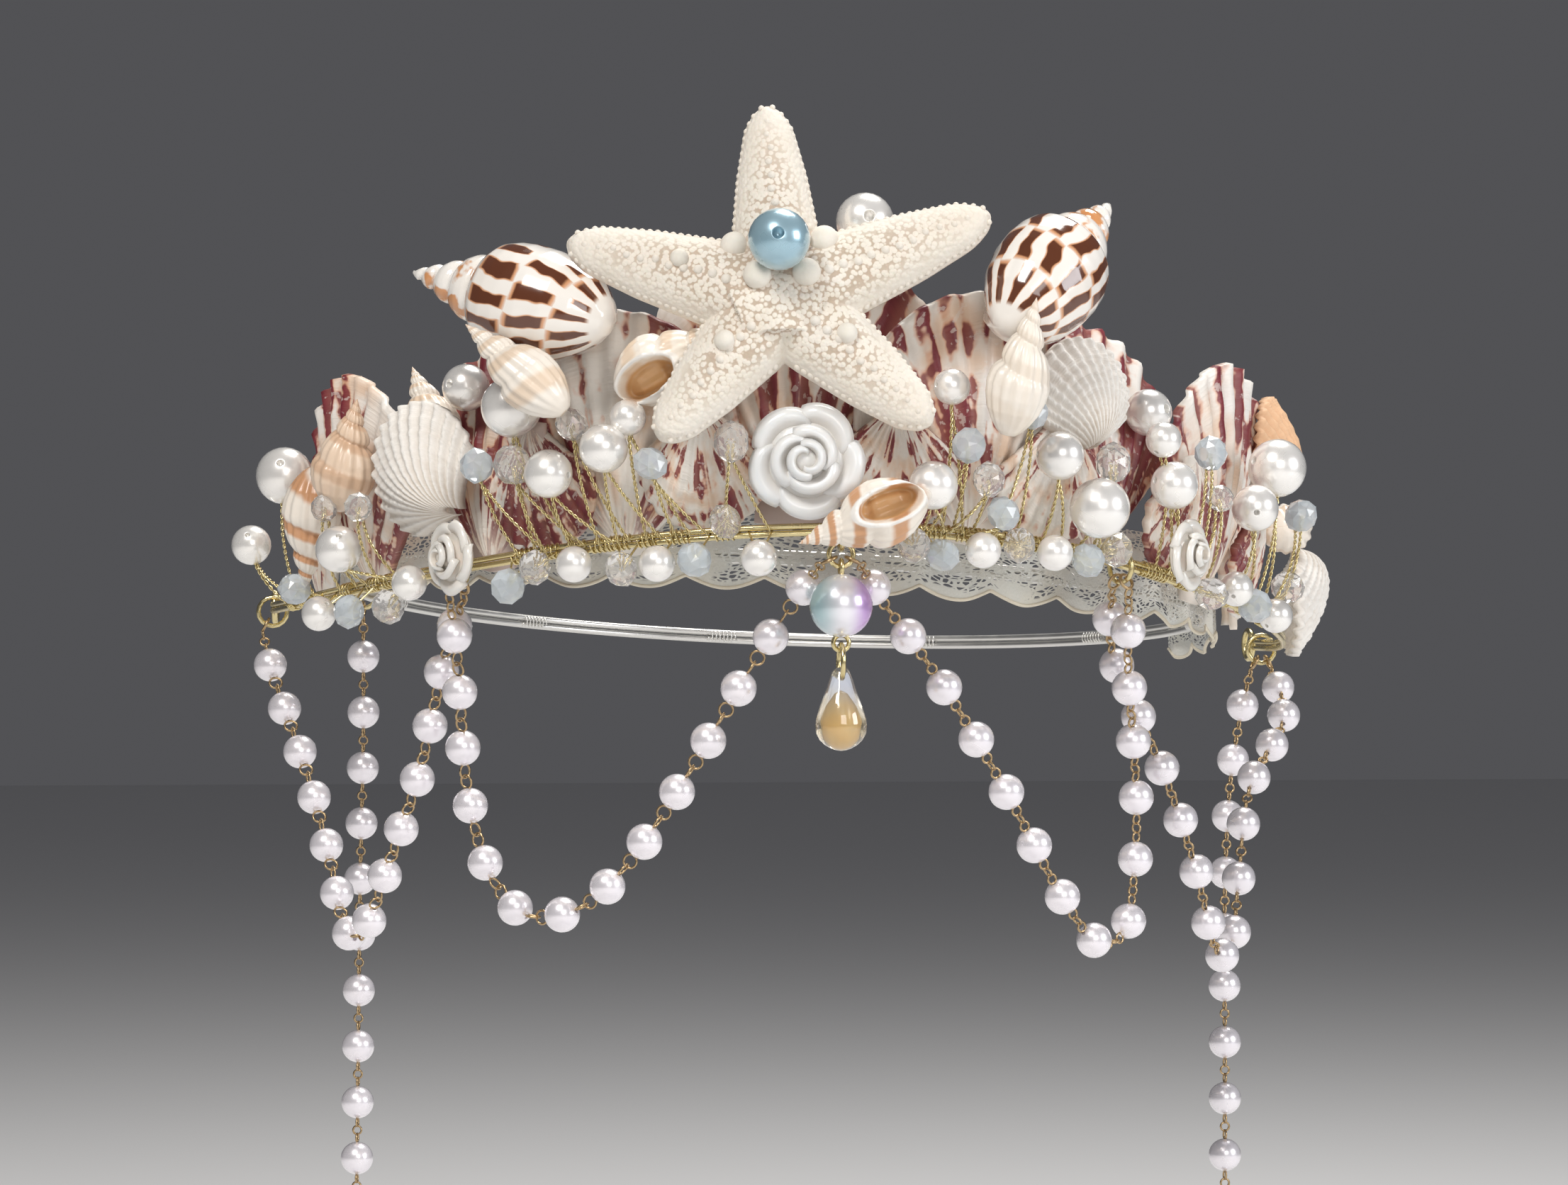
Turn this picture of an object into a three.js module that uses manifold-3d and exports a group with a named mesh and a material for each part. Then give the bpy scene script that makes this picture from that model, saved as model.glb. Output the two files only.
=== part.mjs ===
// Seashell crown: shells, a starfish and resin roses round a wire hoop, with a gold rail and sprays
// of beads across the front, and strands of pearls that hang from the rail and the hoop.
// Millimetres, +Z up. The front faces -Y, and the origin is the middle of the head opening.
// Angles round the crown are in degrees from the front, positive towards +X.
import * as THREE from "three";
import { mergeVertices } from "three/addons/utils/BufferGeometryUtils.js";
import Module from "manifold-3d";

const wasm = await Module();
wasm.setup();

const DEG = Math.PI / 180;

// The head oval runs along the middle of the hoop's wire.
const HEAD_HALF_WIDTH = 77;
const HEAD_HALF_DEPTH = 90;

// Hoop: a flat pair of wires in one tilted plane, higher at the front and lower on the right.
const HOOP_HEIGHT = 4;
const HOOP_FRONT_RISE = 7;
const HOOP_RIGHT_FALL = 4;
const HOOP_THICK = 1.4;
const HOOP_TALL = 2.6;
const HOOP_SIDES = 18;

// Lace: a thin wall just outside the hoop, with a scalloped lower edge.
const LACE_OUT = 1.2;
const LACE_THICK = 1.2;
const LACE_REACH = 104;
const LACE_ABOVE_HOOP = 10;
const LACE_BELOW_HOOP = 3;
const LACE_SCALLOP_DEPTH = 2.5;
const LACE_SCALLOPS = 22;

// Rail: a wire along the front, highest in the middle, which sags more on the right.
const RAIL_OUT = 14;
const RAIL_RADIUS = 1.1;
const RAIL_REACH = 96;
const RAIL_FRONT_HEIGHT = 16;
const RAIL_DROP_LEFT = 13;
const RAIL_DROP_RIGHT = 20;
const RAIL_STEPS = 24;
const RAIL_EYE_RADIUS = 2.6;

// Bead sprays: stems of twisted wire that start on a carrier wire wound along the rail.
const CARRIER_RADIUS = 0.6;
const STEM_RADIUS = 0.5;
const STEM_BOW = 3;
const TOUCHING_GAP = 0.3;
const CARRIER_OUT = RAIL_OUT + RAIL_RADIUS + TOUCHING_GAP + CARRIER_RADIUS;

// Jump rings and the eyes that hang on them.
const RING_RADIUS = 2.6;
const RING_WIRE = 0.45;
const EYE_RADIUS = 1.3;
const EYE_WIRE = 0.4;
const EYE_SPLAY = 28;

// Pearls of the strands: a string of round beads with a thin neck of wire between them.
const STRAND_PEARL_RADIUS = 3;
const STRAND_NECK_RADIUS = 0.6;
const STRAND_LEAD = 7.5;
const BEAD_SIDES = 10;

// The side and long strands are plain tubes of the same size.
const TUBE_SIDES = 8;
const TUBE_STEP = 13;

// Pendant, which hangs a little left of the middle of the rail.
const PENDANT_X = -2;
const HANGER_RADIUS = 2;
const PENDANT_PEARL_RADIUS = 5.2;
const DROP_RING_RADIUS = 2.9;
const DROP_LENGTH = 13.7;
const DROP_HOLE_RADIUS = 1.25;
const DROP_HOLE_PLAY = 0.6;
const DROP_HOLE_BELOW_TOP = 2.3;

const finish = (color, roughness, metalness = 0) =>
  new THREE.MeshStandardMaterial({ color, roughness, metalness });
const SILVER = finish(0xc9c9c4, 0.3, 1);
const GOLD = finish(0xd9b65a, 0.28, 1);
const LACE = finish(0xe8e0cc, 0.9);
const SCALLOP = finish(0xc99a8c, 0.6);
const CHALK = finish(0xf1eee6, 0.75);
const PEACH = finish(0xdca57c, 0.6);
const STARFISH = finish(0xe9dfc8, 0.85);
const SPOTTED = finish(0xe9d9c4, 0.2);
const NASSA = finish(0xd8b98c, 0.5);
const RESIN = finish(0xf4f1ea, 0.35);
const PEARL = finish(0xf2ece2, 0.22);
const BLUE_PEARL = finish(0x8c9bb0, 0.22);
const TWO_TONE = finish(0x9b8fb0, 0.2);
const GLASS = finish(0xe8c890, 0.05);

const crown = new THREE.Group();

// Places on the crown

function ovalPoint(angle, out, height) {
  const turn = angle * DEG;
  const x = (HEAD_HALF_WIDTH + out) * Math.sin(turn);
  const y = -(HEAD_HALF_DEPTH + out) * Math.cos(turn);
  return new THREE.Vector3(x, y, height);
}

function ovalHeading(angle) {
  const turn = angle * DEG;
  return Math.atan2(Math.sin(turn) / HEAD_HALF_WIDTH, Math.cos(turn) / HEAD_HALF_DEPTH);
}

function outwardAt(angle) {
  const heading = ovalHeading(angle);
  return new THREE.Vector3(Math.sin(heading), -Math.cos(heading), 0);
}

function railHeight(angle) {
  const side = Math.sin(Math.min(Math.abs(angle), 90) * DEG);
  const drop = angle < 0 ? RAIL_DROP_LEFT : RAIL_DROP_RIGHT;
  return RAIL_FRONT_HEIGHT - drop * side * side;
}

function hoopHeight(angle) {
  const turn = angle * DEG;
  return HOOP_HEIGHT + HOOP_FRONT_RISE * Math.cos(turn) - HOOP_RIGHT_FALL * Math.sin(turn);
}

function add(name, geometry, material) {
  const mesh = new THREE.Mesh(geometry, material);
  mesh.name = name;
  crown.add(mesh);
  return mesh;
}

// A piece's own X runs along the crown, its Y up and its Z outwards. It is turned in its own face,
// then leaned outwards, then swung round its upright.
function place(name, geometry, material, spot) {
  const { angle, out, height, lean = 0, swing = 0, turn = 0 } = spot;
  const station = new THREE.Group();
  station.position.copy(ovalPoint(angle, out, height));
  station.rotation.set(Math.PI / 2, 0, ovalHeading(angle), "ZXY");
  const mesh = new THREE.Mesh(geometry, material);
  mesh.name = name;
  mesh.rotation.set(lean * DEG, swing * DEG, turn * DEG, "YXZ");
  station.add(mesh);
  crown.add(station);
}

// Closed geometry, and joins and cuts

function closed(geometry) {
  geometry.deleteAttribute("normal");
  geometry.deleteAttribute("uv");
  const merged = mergeVertices(geometry, 1e-4);
  const at = merged.getAttribute("position");
  const index = merged.index.array;
  const [a, b, c] = [new THREE.Vector3(), new THREE.Vector3(), new THREE.Vector3()];
  let volume = 0;
  for (let i = 0; i < index.length; i += 3) {
    a.fromBufferAttribute(at, index[i]);
    b.fromBufferAttribute(at, index[i + 1]);
    c.fromBufferAttribute(at, index[i + 2]);
    volume += a.dot(b.cross(c));
  }
  if (volume < 0) {
    for (let i = 0; i < index.length; i += 3) {
      [index[i + 1], index[i + 2]] = [index[i + 2], index[i + 1]];
    }
  }
  return merged;
}

function solid(geometry) {
  const merged = closed(geometry);
  const vertProperties = merged.getAttribute("position").array;
  const triVerts = new Uint32Array(merged.index.array);
  return new wasm.Manifold(new wasm.Mesh({ numProp: 3, vertProperties, triVerts }));
}

function geometryOf(made) {
  const mesh = made.getMesh();
  const geometry = new THREE.BufferGeometry();
  geometry.setAttribute("position", new THREE.BufferAttribute(mesh.vertProperties, 3));
  geometry.setIndex(new THREE.BufferAttribute(mesh.triVerts, 1));
  return geometry;
}

function fused(geometries) {
  return geometryOf(geometries.map(solid).reduce((whole, piece) => whole.add(piece)));
}

function cut(geometry, tool) {
  return geometryOf(solid(geometry).subtract(solid(tool)));
}

// A thin wall over a grid: point(across, along, face) gives its face (1) and its back (0).
function thinWall(columns, rows, point) {
  const places = [];
  const index = [];
  const id = (face, i, j) => (face * (rows + 1) + j) * (columns + 1) + i;
  const quad = (a, b, c, d) => index.push(a, b, c, a, c, d);
  for (const face of [0, 1]) {
    for (let j = 0; j <= rows; j++) {
      for (let i = 0; i <= columns; i++) {
        places.push(...point(i / columns, j / rows, face));
      }
    }
  }
  for (let j = 0; j < rows; j++) {
    for (let i = 0; i < columns; i++) {
      quad(id(1, i, j), id(1, i + 1, j), id(1, i + 1, j + 1), id(1, i, j + 1));
      quad(id(0, i, j), id(0, i, j + 1), id(0, i + 1, j + 1), id(0, i + 1, j));
    }
    quad(id(0, 0, j), id(1, 0, j), id(1, 0, j + 1), id(0, 0, j + 1));
    quad(id(1, columns, j), id(0, columns, j), id(0, columns, j + 1), id(1, columns, j + 1));
  }
  for (let i = 0; i < columns; i++) {
    quad(id(0, i, 0), id(0, i + 1, 0), id(1, i + 1, 0), id(1, i, 0));
    quad(id(1, i, rows), id(1, i + 1, rows), id(0, i + 1, rows), id(0, i, rows));
  }
  const geometry = new THREE.BufferGeometry();
  geometry.setAttribute("position", new THREE.Float32BufferAttribute(places, 3));
  geometry.setIndex(index);
  return closed(geometry);
}

function wire(curve, radius, sides, steps) {
  const corner = (i) => {
    const turn = (2 * Math.PI * i) / sides;
    return new THREE.Vector2(radius * Math.cos(turn), radius * Math.sin(turn));
  };
  const section = new THREE.Shape(Array.from({ length: sides }, (_, i) => corner(i)));
  return new THREE.ExtrudeGeometry(section, { steps, bevelEnabled: false, extrudePath: curve });
}

class CrownArc extends THREE.Curve {
  constructor(from, to, out, heightAt) {
    super();
    Object.assign(this, { from, to, out, heightAt });
  }

  getPoint(t, target = new THREE.Vector3()) {
    const angle = this.from + (this.to - this.from) * t;
    return target.copy(ovalPoint(angle, this.out, this.heightAt(angle)));
  }
}

// A wire loop whose axis runs along `axis`.
function loop(center, axis, radius, wireRadius) {
  const geometry = new THREE.TorusGeometry(radius, wireRadius, 5, 10);
  const turned = new THREE.Quaternion().setFromUnitVectors(new THREE.Vector3(0, 0, 1), axis);
  return geometry.applyQuaternion(turned).translate(center.x, center.y, center.z);
}

// Hoop and lace

function addHoop() {
  const outer = HOOP_THICK / 2;
  const shape = new THREE.Shape();
  shape.absellipse(0, 0, HEAD_HALF_WIDTH + outer, HEAD_HALF_DEPTH + outer, 0, 2 * Math.PI);
  const hole = new THREE.Path();
  hole.absellipse(0, 0, HEAD_HALF_WIDTH - outer, HEAD_HALF_DEPTH - outer, 0, 2 * Math.PI);
  shape.holes.push(hole);
  const bar = { depth: HOOP_TALL, bevelEnabled: false, curveSegments: HOOP_SIDES };
  const geometry = new THREE.ExtrudeGeometry(shape, bar).translate(0, 0, -HOOP_TALL / 2);
  const hoop = add("hoop", closed(geometry), SILVER);
  hoop.position.z = HOOP_HEIGHT;
  hoop.rotation.x = -Math.atan(HOOP_FRONT_RISE / HEAD_HALF_DEPTH);
  hoop.rotation.y = Math.atan(HOOP_RIGHT_FALL / HEAD_HALF_WIDTH);
}

function addLace() {
  const columns = LACE_SCALLOPS * 2;
  const geometry = thinWall(columns, 1, (across, along, face) => {
    const angle = (2 * across - 1) * LACE_REACH;
    const dips = Math.round(across * columns) % 2;
    const bottom = -LACE_BELOW_HOOP - dips * LACE_SCALLOP_DEPTH;
    const rise = bottom + along * (LACE_ABOVE_HOOP - bottom);
    return ovalPoint(angle, LACE_OUT + face * LACE_THICK, hoopHeight(angle) + rise).toArray();
  });
  add("lace_trim", geometry, LACE);
}

// Shells

// A ribbed fan that opens upwards from its hinge and bulges outwards.
function fanShell({ size, spread, cup, ribs, ribDepth, wall, rows }) {
  const columns = ribs * 2;
  const hingeStart = 0.08;
  return thinWall(columns, rows, (across, along, face) => {
    const bearing = (2 * across - 1) * spread;
    const out = hingeStart + (1 - hingeStart) * along;
    const reach = size * out * Math.cos(bearing * DEG);
    const arch = 1 - Math.pow(2 * Math.pow(out, 0.6) - 1, 2);
    const sides = 1 - 0.8 * Math.pow(bearing / spread, 2);
    const ridge = (Math.round(across * columns) % 2) * ribDepth * out;
    const x = reach * Math.sin(bearing * DEG);
    const y = reach * Math.cos(bearing * DEG);
    return [x, y, cup * arch * sides + ridge + (face - 1) * wall];
  });
}

// Scallops stand hinge down round the hoop. Every second one leans out over its neighbours.
const SCALLOPS = [
  { name: "scallop_1", angle: -87, out: 3.8, height: 3, size: 33, lean: -2, turn: 0 },
  { name: "scallop_2", angle: -64, out: 3.8, height: 6, size: 38, lean: 11, turn: 0 },
  { name: "scallop_3", angle: -43, out: 3.8, height: 9, size: 38, lean: -4, turn: 0 },
  { name: "scallop_4", angle: -25, out: 3.8, height: 12, size: 41, lean: 11, turn: 0 },
  { name: "scallop_5", angle: -6, out: 3.8, height: 16, size: 50, lean: -4, turn: 0 },
  { name: "scallop_6", angle: 14, out: 3.8, height: 14, size: 42, lean: 11, turn: 0 },
  { name: "scallop_7", angle: 32, out: 3.8, height: 10, size: 41, lean: -4, turn: 0 },
  { name: "scallop_8", angle: 52, out: 3.8, height: 4, size: 42, lean: 11, turn: 0 },
  { name: "scallop_9", angle: 75, out: 3.8, height: -1, size: 34, lean: -2, turn: 0 },
];

// Smaller ones lie hinge up over the gaps between them, their wide edges down behind the rail.
const LOW_SCALLOPS = [
  { name: "scallop_10", angle: -34, out: 14, height: 34, size: 22 },
  { name: "scallop_11", angle: -15.5, out: 14.5, height: 37, size: 22 },
  { name: "scallop_12", angle: 4.5, out: 14, height: 37, size: 22 },
  { name: "scallop_13", angle: 23, out: 14, height: 35, size: 22 },
  { name: "scallop_14", angle: 42, out: 14.5, height: 29, size: 22 },
  { name: "scallop_15", angle: 62, out: 12, height: 21, size: 20 },
];

function addScallops() {
  for (const row of SCALLOPS) {
    const form = { spread: 50, cup: row.size * 0.12, ribs: 6, ribDepth: 0.9, wall: 1.5, rows: 3 };
    place(row.name, fanShell({ size: row.size, ...form }), SCALLOP, row);
  }
  for (const row of LOW_SCALLOPS) {
    const form = { spread: 50, cup: row.size * 0.12, ribs: 5, ribDepth: 0.6, wall: 1.3, rows: 3 };
    place(row.name, fanShell({ size: row.size, ...form }), SCALLOP, { ...row, lean: 10, turn: 180 });
  }
}

const COCKLES = [
  { name: "cockle_left", angle: -43, out: 13, height: 19, size: 23, lean: 5, turn: 50, made: CHALK },
  { name: "cockle_right", angle: 25, out: 17, height: 29, size: 19, lean: -5, turn: 2, made: CHALK },
  { name: "cockle_far_right", angle: 84, out: 16.5, height: 14, size: 20, lean: 0, turn: 175, made: CHALK },
  { name: "cockle_peach", angle: 64, out: 13.5, height: 22, size: 18, lean: 0, turn: 0, made: PEACH },
];

function addCockles() {
  for (const row of COCKLES) {
    const form = { spread: 62, cup: row.size * 0.32, ribs: 6, ribDepth: 0.6, wall: 1.3, rows: 3 };
    place(row.name, fanShell({ size: row.size, ...form }), row.made, row);
  }
}

// Outline of a spiral shell: how far along it lies from the canal to the tip, and how wide it is.
const SPIRAL_PROFILE = [
  { along: 0, wide: 0 },
  { along: 0.03, wide: 0.24 },
  { along: 0.18, wide: 0.74 },
  { along: 0.36, wide: 1 },
  { along: 0.5, wide: 0.92 },
  { along: 0.56, wide: 0.68 },
  { along: 0.64, wide: 0.66 },
  { along: 0.73, wide: 0.42 },
  { along: 0.81, wide: 0.38 },
  { along: 0.88, wide: 0.2 },
  { along: 1, wide: 0 },
];

// A spiral shell lies along Y with its tip up, about its own middle. Its mouth faces outwards.
function spiralShell({ length, width, mouth, sides }) {
  const outline = SPIRAL_PROFILE.map(
    ({ along, wide }) => new THREE.Vector2((wide * width) / 2, (along - 0.5) * length),
  );
  const body = new THREE.LatheGeometry(outline, sides);
  if (!mouth) {
    return closed(body);
  }
  const hollow = new THREE.SphereGeometry(1, BEAD_SIDES, 5);
  hollow.scale(width * 0.22, length * 0.24, width * 0.3);
  hollow.rotateZ(-15 * DEG);
  hollow.translate(width * 0.12, -length * 0.2, width * 0.42);
  return cut(body, hollow);
}

const BABYLONS = [
  { name: "babylon_left", angle: -34, out: 21, height: 54, length: 40, width: 19, turn: 76, swing: 0 },
  { name: "babylon_right", angle: 20, out: 21, height: 59, length: 36, width: 19, turn: -54, swing: 20 },
];

const NASSA_SIDES = 8;
const NASSAS = [
  { name: "nassa_1", angle: -31, out: 29.5, height: 42, length: 22, width: 10, turn: 47, lean: 18 },
  { name: "nassa_2", angle: -18, out: 19, height: 43.5, length: 21, width: 11.5, turn: -60, mouth: true },
  { name: "nassa_3", angle: -66, out: 17, height: 16.5, length: 22, width: 10, turn: 167 },
  { name: "nassa_4", angle: -58, out: 17.5, height: 29, length: 20, width: 11, turn: -20 },
  { name: "nassa_5", angle: -50, out: 10, height: 36, length: 18, width: 9, turn: 30 },
  { name: "nassa_6", angle: 0, out: 25.5, height: 17.3, length: 22, width: 11, turn: 110, mouth: true },
  { name: "nassa_7", angle: 14, out: 29.5, height: 42, length: 23, width: 10, turn: -6, lean: 15 },
  { name: "nassa_8", angle: 82, out: 15, height: 17, length: 16, width: 9, turn: -95 },
];

function addSpirals() {
  for (const row of BABYLONS) {
    place(row.name, spiralShell({ ...row, sides: 12 }), SPOTTED, row);
  }
  for (const row of NASSAS) {
    place(row.name, spiralShell({ ...row, sides: NASSA_SIDES }), NASSA, row);
  }
}

// Starfish: arms of their own lengths round a low dome, over a flat back.
const STAR_ARMS = [
  { bearing: 94, length: 33 },
  { bearing: 164, length: 36 },
  { bearing: 230, length: 30 },
  { bearing: 320, length: 32 },
  { bearing: 383, length: 37 },
];
const STAR_ARM_OUTLINE = [
  { along: 0.3, wide: 7 },
  { along: 0.62, wide: 5.6 },
  { along: 0.88, wide: 3.8 },
  { along: 0.98, wide: 1.8 },
];
const STAR_THICK = 8;
const STAR_EDGE = 2;
const STAR_SPOT = { angle: -7.5, out: 20, height: 52.5, lean: -13 };

function starOutline() {
  const points = [];
  for (const { bearing, length } of STAR_ARMS) {
    const along = new THREE.Vector2(Math.cos(bearing * DEG), Math.sin(bearing * DEG));
    const across = new THREE.Vector2(-along.y, along.x);
    const corner = (row, side) =>
      along.clone().multiplyScalar(row.along * length).addScaledVector(across, side * row.wide);
    const right = STAR_ARM_OUTLINE.map((row) => corner(row, -1));
    const left = STAR_ARM_OUTLINE.map((row) => corner(row, 1)).reverse();
    points.push(...right, ...left);
  }
  return points;
}

function addStarfish() {
  const outline = starOutline();
  const rings = [0.45, 0.75, 0.93, 1];
  const places = [[0, 0, STAR_THICK], [0, 0, 0]];
  const index = [];
  const count = outline.length;
  const id = (ring, i) => 2 + ring * count + (i % count);
  for (const reach of [...rings, 1]) {
    const onBack = places.length >= 2 + rings.length * count;
    const rise = STAR_EDGE + (STAR_THICK - STAR_EDGE) * Math.sqrt(1 - reach * reach);
    outline.forEach((p) => places.push([p.x * reach, p.y * reach, onBack ? 0 : rise]));
  }
  for (let i = 0; i < count; i++) {
    index.push(0, id(0, i), id(0, i + 1));
    for (let ring = 0; ring < rings.length; ring++) {
      index.push(id(ring, i), id(ring + 1, i), id(ring + 1, i + 1));
      index.push(id(ring, i), id(ring + 1, i + 1), id(ring, i + 1));
    }
    index.push(1, id(rings.length, i + 1), id(rings.length, i));
  }
  const geometry = new THREE.BufferGeometry();
  geometry.setAttribute("position", new THREE.Float32BufferAttribute(places.flat(), 3));
  geometry.setIndex(index);
  place("starfish", closed(geometry), STARFISH, STAR_SPOT);
}

// Roses: rings of petals round a bud, as one cast piece that faces outwards.
const ROSE_PROFILE = [
  { wide: 0, rise: 0 },
  { wide: 0.88, rise: 0 },
  { wide: 1, rise: 0.2 },
  { wide: 0.9, rise: 0.4 },
  { wide: 0.72, rise: 0.28 },
  { wide: 0.66, rise: 0.56 },
  { wide: 0.46, rise: 0.42 },
  { wide: 0.38, rise: 0.68 },
  { wide: 0.16, rise: 0.56 },
  { wide: 0, rise: 0.72 },
];
const ROSE_PETALS = 5;
const ROSES = [
  { name: "rose_centre", angle: -5, out: 18, height: 27, width: 18, lean: 0, swing: 0 },
  { name: "rose_left", angle: -41, out: 19, height: 11.5, width: 12, lean: 0, swing: -15 },
  { name: "rose_right", angle: 36, out: 20.5, height: 12, width: 11.5, lean: 0, swing: 10 },
];

function rose(width) {
  const radius = width / 2;
  const outline = ROSE_PROFILE.map((row) => new THREE.Vector2(row.wide * radius, row.rise * radius));
  const geometry = closed(new THREE.LatheGeometry(outline, ROSE_PETALS * 3));
  const at = geometry.getAttribute("position");
  for (let i = 0; i < at.count; i++) {
    const [x, rise, z] = [at.getX(i), at.getY(i), at.getZ(i)];
    const ring = Math.hypot(x, z) / radius;
    const lobes = 1 + 0.07 * Math.cos(ROSE_PETALS * Math.atan2(z, x) + 6 * ring);
    at.setXYZ(i, x * lobes, -z * lobes, rise);
  }
  return closed(geometry);
}

function addRoses() {
  for (const row of ROSES) {
    place(row.name, rose(row.width), RESIN, row);
  }
}

// Pearls glued to the shells
const GLUED_PEARLS = [
  { name: "star_pearl", angle: -7.5, out: 31, height: 62, size: 10, made: BLUE_PEARL },
  { name: "back_pearl", angle: 1.2, out: 14, height: 66, size: 9.5, made: PEARL },
  { name: "left_pearl", angle: -45, out: 9, height: 40, size: 8, made: PEARL },
  { name: "right_pearl", angle: 38, out: 10, height: 36, size: 8, made: PEARL },
];

function pearl(size) {
  return new THREE.SphereGeometry(size / 2, BEAD_SIDES, size > 9 ? 6 : 5);
}

function addGluedPearls() {
  for (const row of GLUED_PEARLS) {
    place(row.name, closed(pearl(row.size)), row.made, row);
  }
}

// Rail and bead sprays

function addRail() {
  const arc = new CrownArc(-RAIL_REACH, RAIL_REACH, RAIL_OUT, railHeight);
  const pieces = [wire(arc, RAIL_RADIUS, 6, RAIL_STEPS)];
  for (const end of [-RAIL_REACH, RAIL_REACH]) {
    const tip = ovalPoint(end, RAIL_OUT, railHeight(end));
    const onward = outwardAt(end + Math.sign(end) * 90);
    const center = tip.addScaledVector(onward, RAIL_EYE_RADIUS);
    pieces.push(loop(center, outwardAt(end), RAIL_EYE_RADIUS, RAIL_RADIUS));
  }
  add("front_rail", fused(pieces), GOLD);
}

// A cut bead: two flat tables and three rings of facets.
function cutBead(size) {
  const [table, waist, half] = [size * 0.2, size * 0.5, size * 0.4];
  const outline = [
    new THREE.Vector2(0, -half),
    new THREE.Vector2(table, -half),
    new THREE.Vector2(waist, -half * 0.35),
    new THREE.Vector2(waist, half * 0.35),
    new THREE.Vector2(table, half),
    new THREE.Vector2(0, half),
  ];
  return new THREE.LatheGeometry(outline, 8);
}

// Each bead stands on a stem that starts at `root` degrees along the rail.
const SPRAYS = {
  spray_far_left: [
    { bead: "pearl", size: 10, angle: -73, out: 17, height: 26, root: -71 },
    { bead: "pearl", size: 7, angle: -77, out: 21, height: 14, root: -75 },
    { bead: "pearl", size: 8, angle: -56.5, out: 21, height: 13, root: -56 },
  ],
  spray_left: [
    { bead: "pearl", size: 10, angle: -34, out: 21, height: 36, root: -33 },
    { bead: "pearl", size: 8, angle: -29.5, out: 23, height: 25, root: -29 },
    { bead: "pearl", size: 8, angle: -24, out: 23, height: 29, root: -24 },
    { bead: "pearl", size: 6, angle: -22, out: 21, height: 34, root: -21 },
    { bead: "cut", size: 7, angle: -33.5, out: 22, height: 26.5, root: -32 },
    { bead: "cut", size: 7, angle: -12, out: 22, height: 30, root: -13 },
  ],
  spray_right: [
    { bead: "pearl", size: 6, angle: 9, out: 21, height: 39, root: 9 },
    { bead: "pearl", size: 8, angle: 7, out: 22, height: 23, root: 7 },
    { bead: "pearl", size: 8, angle: 20, out: 22, height: 28, root: 20 },
    { bead: "pearl", size: 10, angle: 24.5, out: 22, height: 19.5, root: 24 },
    { bead: "cut", size: 7, angle: 26.5, out: 21, height: 27, root: 26 },
  ],
  spray_far_right: [
    { bead: "pearl", size: 6, angle: 33, out: 21, height: 31, root: 35 },
    { bead: "pearl", size: 8, angle: 34.5, out: 21, height: 23.5, root: 37 },
    { bead: "pearl", size: 8, angle: 48, out: 21, height: 20, root: 49 },
    { bead: "pearl", size: 10, angle: 53, out: 21, height: 27, root: 54 },
  ],
};

function addSprays() {
  const carrierPoint = (angle) => ovalPoint(angle, CARRIER_OUT, railHeight(angle));
  for (const [name, beads] of Object.entries(SPRAYS)) {
    const roots = beads.map(({ root }) => root);
    const arc = new CrownArc(Math.min(...roots) - 1, Math.max(...roots) + 1, CARRIER_OUT, railHeight);
    const pieces = [wire(arc, CARRIER_RADIUS, 6, 6)];
    for (const { bead, size, angle, out, height, root } of beads) {
      const center = ovalPoint(angle, out, height);
      const start = carrierPoint(root);
      const bow = start.clone().lerp(center, 0.5).addScaledVector(outwardAt(angle), STEM_BOW);
      pieces.push(wire(new THREE.QuadraticBezierCurve3(start, bow, center), STEM_RADIUS, 5, 2));
      const made = bead === "pearl" ? pearl(size) : cutBead(size);
      pieces.push(made.rotateX(90 * DEG).translate(center.x, center.y, center.z));
    }
    add(name, fused(pieces), PEARL);
  }
}

// Jump rings and pearl strands

// Rings hang over the rail, or over the hoop behind the left side.
const RINGS = [
  { name: "ring_left", angle: -43.5, out: RAIL_OUT, wire: RAIL_RADIUS, heightAt: railHeight },
  { name: "ring_right", angle: 31, out: RAIL_OUT, wire: RAIL_RADIUS, heightAt: railHeight },
  { name: "ring_end_left", angle: -93, out: RAIL_OUT, wire: RAIL_RADIUS, heightAt: railHeight },
  { name: "ring_end_right", angle: 93, out: RAIL_OUT, wire: RAIL_RADIUS, heightAt: railHeight },
  { name: "ring_rear_left", angle: -107, out: 0, wire: HOOP_TALL / 2 + 0.2, heightAt: hoopHeight },
];

function ringHeight(ring) {
  return ring.heightAt(ring.angle) + ring.wire + TOUCHING_GAP + RING_WIRE - RING_RADIUS;
}

function addRings() {
  for (const ring of RINGS) {
    const made = closed(new THREE.TorusGeometry(RING_RADIUS, RING_WIRE, 5, 10));
    place(ring.name, made, GOLD, { ...ring, height: ringHeight(ring), swing: 90 });
  }
}

// The eye at the end of a strand goes round the lower wire of a ring, `splay` degrees from its bottom
// towards the outside. It gives the loop and the point where the strand leaves it.
function eyeOnRing(name, splay) {
  const ring = RINGS.find((row) => row.name === name);
  const outward = outwardAt(ring.angle);
  const down = new THREE.Vector3(0, 0, -1);
  const away = down.clone().multiplyScalar(Math.cos(splay * DEG));
  away.addScaledVector(outward, Math.sin(splay * DEG));
  const along = outward.clone().multiplyScalar(Math.cos(splay * DEG));
  along.addScaledVector(down, -Math.sin(splay * DEG));
  const middle = ovalPoint(ring.angle, ring.out, ringHeight(ring));
  return eyeOnWire(middle.addScaledVector(away, RING_RADIUS), away, along);
}

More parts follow.
